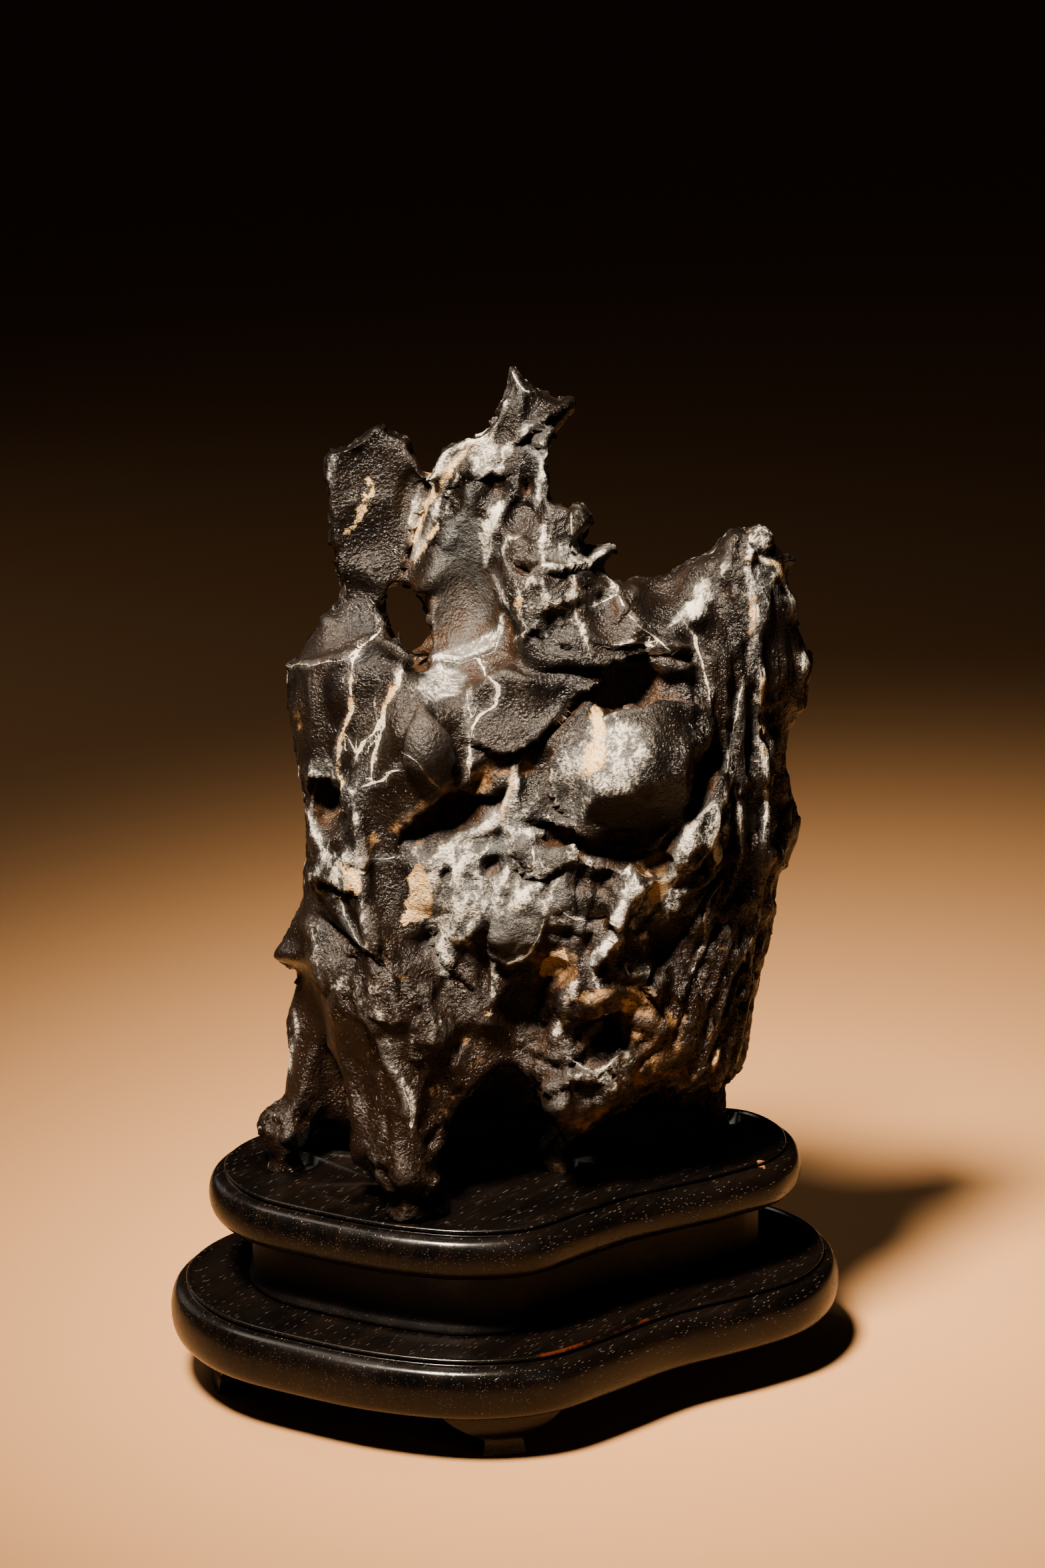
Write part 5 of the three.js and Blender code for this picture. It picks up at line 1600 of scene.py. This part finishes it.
# %% [markdown]
# ## The boards
#
# Each board is a turned section carried round the plan: a thin lip underneath, a full bullnose, a
# small step, and a fine bead with the flat top a little lower inside it. A bevel on the packed
# board couldn't give the step and the bead. So each point of the section gives one ring of
# vertices round the plan, and each ring is bridged to the one below it. The work starts at the
# top, because two level rings are joined straight only while neither has faces yet.

# %% Carrying a section round the plan
def moulded(name, line, outward, section):
    """A closed board from a section of (offset outwards, height) in mm, from underneath to the top."""
    bm = bmesh.new()
    rings = []
    loops = []
    for offset, height in section:
        spots = line + outward * offset * MM
        ring = [bm.verts.new((spot.real, spot.imag, height * MM)) for spot in spots]
        rings.append(ring)
        loops.append([bm.edges.new(ends) for ends in zip(ring, ring[1:] + ring[:1])])
    for high in range(len(loops) - 1, 0, -1):
        bmesh.ops.bridge_loops(bm, edges=loops[high - 1] + loops[high])
    bm.faces.new(rings[0][::-1])
    bm.faces.new(rings[-1])
    bmesh.ops.recalc_face_normals(bm, faces=bm.faces)
    mesh = bpy.data.meshes.new(name)
    bm.to_mesh(mesh)
    bm.free()
    return new_piece(name, mesh)

# %% The sections, in mm
LIP = [(-9, 0.02), (-2.6, 0), (-2.0, 0.15), (-1.75, 0.9), (-1.2, 1.15)]
NOSE_ABOVE_LOW = 1.2
NOSE_BELOW_TOP = 1.0
NOSE_POINTS = 15
NOSE_START = 0.4
NOSE_REACH = 3.6
NOSE_FULLNESS = 0.8
NOSE_DROOP = 0.03
STEP_BACK = 1.0
STEP_AND_BEAD = [(0.25, 0.75), (0.35, 0.35), (0.05, 0.05), (-0.35, 0), (-0.75, 0.1)]
BEAD_DROP = 0.6
WAIST_FROM_UPPER_BEAD = -6.0


def board_section(low, high):
    """Lip, bullnose, step, bead and flat top, worked out from the board's two heights in mm."""
    section = [(offset, low + rise) for offset, rise in LIP]
    nose_low = low + NOSE_ABOVE_LOW
    nose_high = high - NOSE_BELOW_TOP
    middle = (nose_low + nose_high) / 2 - (high - low) * NOSE_DROOP
    for k in range(NOSE_POINTS):
        angle = math.pi * (k / (NOSE_POINTS - 1) - 0.5)
        reach = NOSE_START + NOSE_REACH * math.cos(angle) ** NOSE_FULLNESS
        stepped = STEP_BACK * (k > NOSE_POINTS - 3)
        section.append((reach - stepped, middle + math.sin(angle) * (nose_high - nose_low) / 2))
    section += [(offset, high - drop) for offset, drop in STEP_AND_BEAD]
    section += [(-1.05, high - BEAD_DROP + 0.12), (-1.4, high - BEAD_DROP), (-8, high - BEAD_DROP)]
    return section


lower_section = board_section(lower_low.z / MM, lower_high.z / MM)
upper_section = board_section(upper_low.z / MM, upper_high.z / MM)
foot_z = waist_low.z / MM
roof_z = waist_high.z / MM
waist_section = [(0.9, foot_z), (0.9, foot_z + 0.8), (0.3, foot_z + 1.8), (0.0, foot_z + 2.6),
                 (0.0, roof_z - 2.2), (0.25, roof_z - 1.0), (0.25, roof_z)]
lower_board = moulded("lower_board", lower_bead, lower_out, lower_section)
upper_board = moulded("upper_board", upper_bead, upper_out, upper_section)
waist = moulded("waist", upper_bead + upper_out * WAIST_FROM_UPPER_BEAD * MM, upper_out, waist_section)
print("the section of a board has", len(upper_section), "points and the waist's", len(waist_section))

# %% [markdown]
# ## Sockets for the stone's feet
#
# The carver sinks a bed for each foot, so that the stone stands without rocking. Each bed is cut
# with a slightly tapered plug a little wider than the foot. A Boolean modifier does what the
# chisel does, and leaves the rest of the board as it is. Each bed is (x, y, radius) in mm.

# %% Cutting the sockets
SOCKETS = {"front leg": (-22, -25.5, 9.6), "rear leg": (-52, 4.3, 7.4), "middle foot": (11.5, 3.3, 5.2),
           "right foot": (51.3, 33.4, 5.4)}
SOCKET_DEPTH = 2.4
NARROWER_BELOW = 0.3
WIDER_ABOVE = 0.5
for x, y, radius in SOCKETS.values():
    bm = bmesh.new()
    bmesh.ops.create_cone(bm, cap_ends=True, segments=40, radius1=(radius - NARROWER_BELOW) * MM,
                          radius2=(radius + WIDER_ABOVE) * MM, depth=SOCKET_DEPTH * 2 * MM)
    centre = Vector((x * MM, y * MM, upper_high.z - BEAD_DROP * MM))
    bmesh.ops.translate(bm, verts=bm.verts, vec=centre)
    plug_mesh = bpy.data.meshes.new("plug")
    bm.to_mesh(plug_mesh)
    bm.free()
    plug = new_piece("plug", plug_mesh)
    cut = upper_board.modifiers.new("socket", "BOOLEAN")
    cut.operation = "DIFFERENCE"
    cut.object = plug
    applied(upper_board)
    bpy.data.objects.remove(plug)
print("sockets", len(SOCKETS))

# %% [markdown]
# ## The bracket feet
#
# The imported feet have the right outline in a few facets, so they needn't be modelled again. A copy
# is merged, its hard edges are softened with a narrow bevel, and subdivision rounds the hollow
# curves under the board.

# %% Softening the feet
FEET = ["foot_front", "foot_right", "foot_back", "foot_left"]
SOFT_EDGE = 0.45 * MM
SHARPER_THAN = math.radians(38)
ROUNDING = 2
feet = []
for node in FEET:
    foot = new_piece(node + "_carved", merged_copy(node))
    edge_softener = foot.modifiers.new("edges", "BEVEL")
    edge_softener.width = SOFT_EDGE
    edge_softener.segments = 2
    edge_softener.limit_method = "ANGLE"
    edge_softener.angle_limit = SHARPER_THAN
    rounding = foot.modifiers.new("rounding", "SUBSURF")
    rounding.levels = ROUNDING
    rounding.render_levels = ROUNDING
    applied(foot)
    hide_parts(node)
    feet.append(foot)
print("the feet have", sum(len(foot.data.polygons) for foot in feet), "faces")

# %% [markdown]
# ## The wood
#
# The stand is a dense hardwood under black-brown lacquer. Its pores stay open: they are dots where
# the grain ends at the surface and short dashes where it lies flat. They are pale with dust and
# sunk a little. The beads shine, and the hidden wall is duller and redder. Cells of noise drawn out
# along one grain direction give both kinds of pore at once, which a wave or a stripe would not.
#
# At the front right the lower bead is rubbed through to the red wood, a number on the vertices
# there, and a small chip in the upper bead shows bare wood.

# %% The wood's finishes
LACQUER = (0.0022, 0.0018, 0.0016, 1)
LACQUER_BROWN = (0.0062, 0.0036, 0.0024, 1)
RED_BROWN = (0.0060, 0.0030, 0.0020, 1)
RED_RUB = (0.050, 0.012, 0.005, 1)
PORE = (0.15, 0.135, 0.12, 1)
CHIPPED = (0.17, 0.085, 0.045, 1)
GRAIN_TURN = math.radians(-55)
LACQUER_SHINE = 0.34
WOOD_RELIEF = 0.16 * MM
CHIP = (1140, 1742)
CHIP_RADIUS = 1.3


def worn(board, bead, top):
    """Paints on a board how far its bead is rubbed to the red wood, which is at the front right."""
    x, y, z = np.array([v.co for v in board.data.vertices]).T
    gap = np.abs((x + 1j * y)[:, None] - bead[None, :]).min(1)
    rubbed = smooth_step(-gap, -1.2 * MM, -0.4 * MM) * smooth_step(z - top, -0.9 * MM, -0.4 * MM)
    across = smooth_step(x, -5 * MM, 12 * MM) * smooth_step(-x, -52 * MM, -30 * MM)
    rubbed *= across * smooth_step(-y, -12 * MM, 2 * MM)
    layer = board.data.attributes.new("rubbed", "FLOAT", "POINT")
    layer.data.foreach_set("value", rubbed.astype(np.float32))


worn(lower_board, lower_bead, lower_high.z)
bead_level = np.full(RING_POINTS, upper_high.z - BEAD_DROP * MM)
bead_places = np.stack([upper_bead.real, upper_bead.imag, bead_level], 1)
chip_spot = tuple(bead_places[np.linalg.norm(in_picture(bead_places)[0] - CHIP, axis=1).argmin()])


def wood(name, gloss_low, brown_share, brown):
    """Lacquered wood with a lowest roughness, and a share of a brown in its figure."""
    material, shader, at = new_finish(name)
    along_grain = at.scaled(1, 1, 1, GRAIN_TURN)
    stretched_out = along_grain.scaled(0.13, 1, 1)
    figure = along_grain.scaled(0.05, 1, 0.6).grain(240, 4, 0.6, 0.6)
    clouds = at.grain(38, 3)
    pore_cells = stretched_out.cells(1800)
    pores = pore_cells.rise(0.22, 0.12) * along_grain.scaled(0.2, 1, 1).grain(420, 2).rise(0.38, 0.55)
    scratches = stretched_out.grain(900, 2).rise(0.62, 0.72)
    base = (figure.rise(0.35, 0.7) * brown_share).tint(LACQUER, brown)
    base = (clouds.rise(0.5, 0.75) * 0.35).tint(base, brown)
    base = (pores * 0.36 + scratches * 0.03).tint(base, PORE)
    red = (attribute(at, "rubbed") + (figure - 0.5) * 2.4 + (at.grain(420, 3) - 0.5) * 1.6).rise(0.9, 1.3)
    base = (red * attribute(at, "rubbed").rise(0.1, 0.4)).tint(base, RED_RUB)
    from_chip = at.node("ShaderNodeVectorMath", {"operation": "DISTANCE"}, {0: at, 1: chip_spot}, "Value")
    chipped = (from_chip * (1 / MM) + (at.grain(900, 3) - 0.5) * 4).rise(CHIP_RADIUS, CHIP_RADIUS - 0.4)
    base = chipped.tint(base, CHIPPED)
    feed(shader, "Base Color", base)
    feed(shader, "Roughness", gloss_low + clouds.rise(0.3, 0.7) * 0.12 + (figure - 0.5) * 0.12 + pores * 0.35)
    shader.inputs["Specular IOR Level"].default_value = LACQUER_SHINE
    bump(shader, figure * 0.25 - pores * 0.8 + scratches * 0.2, WOOD_RELIEF)
    print(name, "has", len(material.node_tree.nodes), "nodes")
    return material

# %% The finishes on the pieces
lacquered = wood("lacquered_wood", 0.20, 0.8, LACQUER_BROWN)
recessed = wood("recessed_wood", 0.42, 1.0, RED_BROWN)
for piece, material, slot in [(lower_board, lacquered, "lacquered_hardwood"),
                              (upper_board, lacquered, "lacquered_hardwood"),
                              (waist, recessed, "recessed_hardwood"),
                              *[(foot, lacquered, "lacquered_hardwood") for foot in feet]]:
    piece.data.materials.clear()
    piece.data.materials.append(material)
    piece.data.shade_smooth()
    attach(piece, "root")
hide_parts("stand_lower_board")
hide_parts("stand_upper_board")
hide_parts("stand_waist")

# %% [markdown]
# ## The room
#
# The stone stands on a plain floor of paper, so wide that no view shows its end. A narrow warm key
# comes from high on the left in front, and a softer light from above, behind the left shoulder of
# the stone, so that the ledges keep their shadows. A dim one from behind on the left draws the rim,
# and a weak, broad and cool one from the right in front keeps the dark side readable. The air adds
# very little. One large lamp would be simpler, but the real ledges are drawn by a light from above.
#
# The picture's look has a medium high contrast, because under the default one the black limestone
# turns a washed-out grey.

# %% The floor
FLOOR_HALF = 30
PAPER = (0.34, 0.19, 0.09, 1)
bm = bmesh.new()
bmesh.ops.create_grid(bm, x_segments=1, y_segments=1, size=FLOOR_HALF)
floor_mesh = bpy.data.meshes.new("floor")
bm.to_mesh(floor_mesh)
bm.free()
floor = new_piece("floor", floor_mesh)
floor_finish, floor_shader, _ = new_finish("pale_paper")
floor_shader.inputs["Base Color"].default_value = PAPER
floor_shader.inputs["Roughness"].default_value = 0.9
floor_mesh.materials.append(floor_finish)
print("the floor is", 2 * FLOOR_HALF, "m wide")

# %% Lights and air
MIDDLE = (0, 0, 0.14)
UPPER = (0, -0.02, 0.19)
AIR = (0.62, 0.54, 0.46, 1)
AIR_STRENGTH = 0.027


def soft_light(name, spot, aim, size, power, colour, spread=180):
    """A round lamp of a size in metres and a power in watts, turned to a point."""
    data = bpy.data.lights.new(name, "AREA")
    data.shape = "DISK"
    data.size = size
    data.energy = power
    data.color = colour
    data.spread = math.radians(spread)
    lamp = bpy.data.objects.new(name, data)
    lamp.location = spot
    lamp.rotation_euler = (Vector(aim) - Vector(spot)).to_track_quat("-Z", "Y").to_euler()
    bpy.context.scene.collection.objects.link(lamp)


soft_light("key", (-0.22, -0.44, 0.90), UPPER, 0.20, 2.7, (1.0, 0.86, 0.70), 36)
soft_light("top", (-0.45, 0.25, 0.80), MIDDLE, 0.35, 1.5, (1.0, 0.90, 0.78))
soft_light("back", (-0.75, 0.75, 0.42), MIDDLE, 0.5, 0.5, (1.0, 0.92, 0.84))
soft_light("fill", (0.75, -0.9, 0.45), MIDDLE, 0.6, 0.36, (0.93, 0.96, 1.0))
world = bpy.data.worlds.new("air")
world.use_nodes = True
world.node_tree.nodes["Background"].inputs["Color"].default_value = AIR
world.node_tree.nodes["Background"].inputs["Strength"].default_value = AIR_STRENGTH
bpy.context.scene.world = world
bpy.context.scene.view_settings.look = "AgX - Medium High Contrast"
print("lights", len(bpy.data.lights))
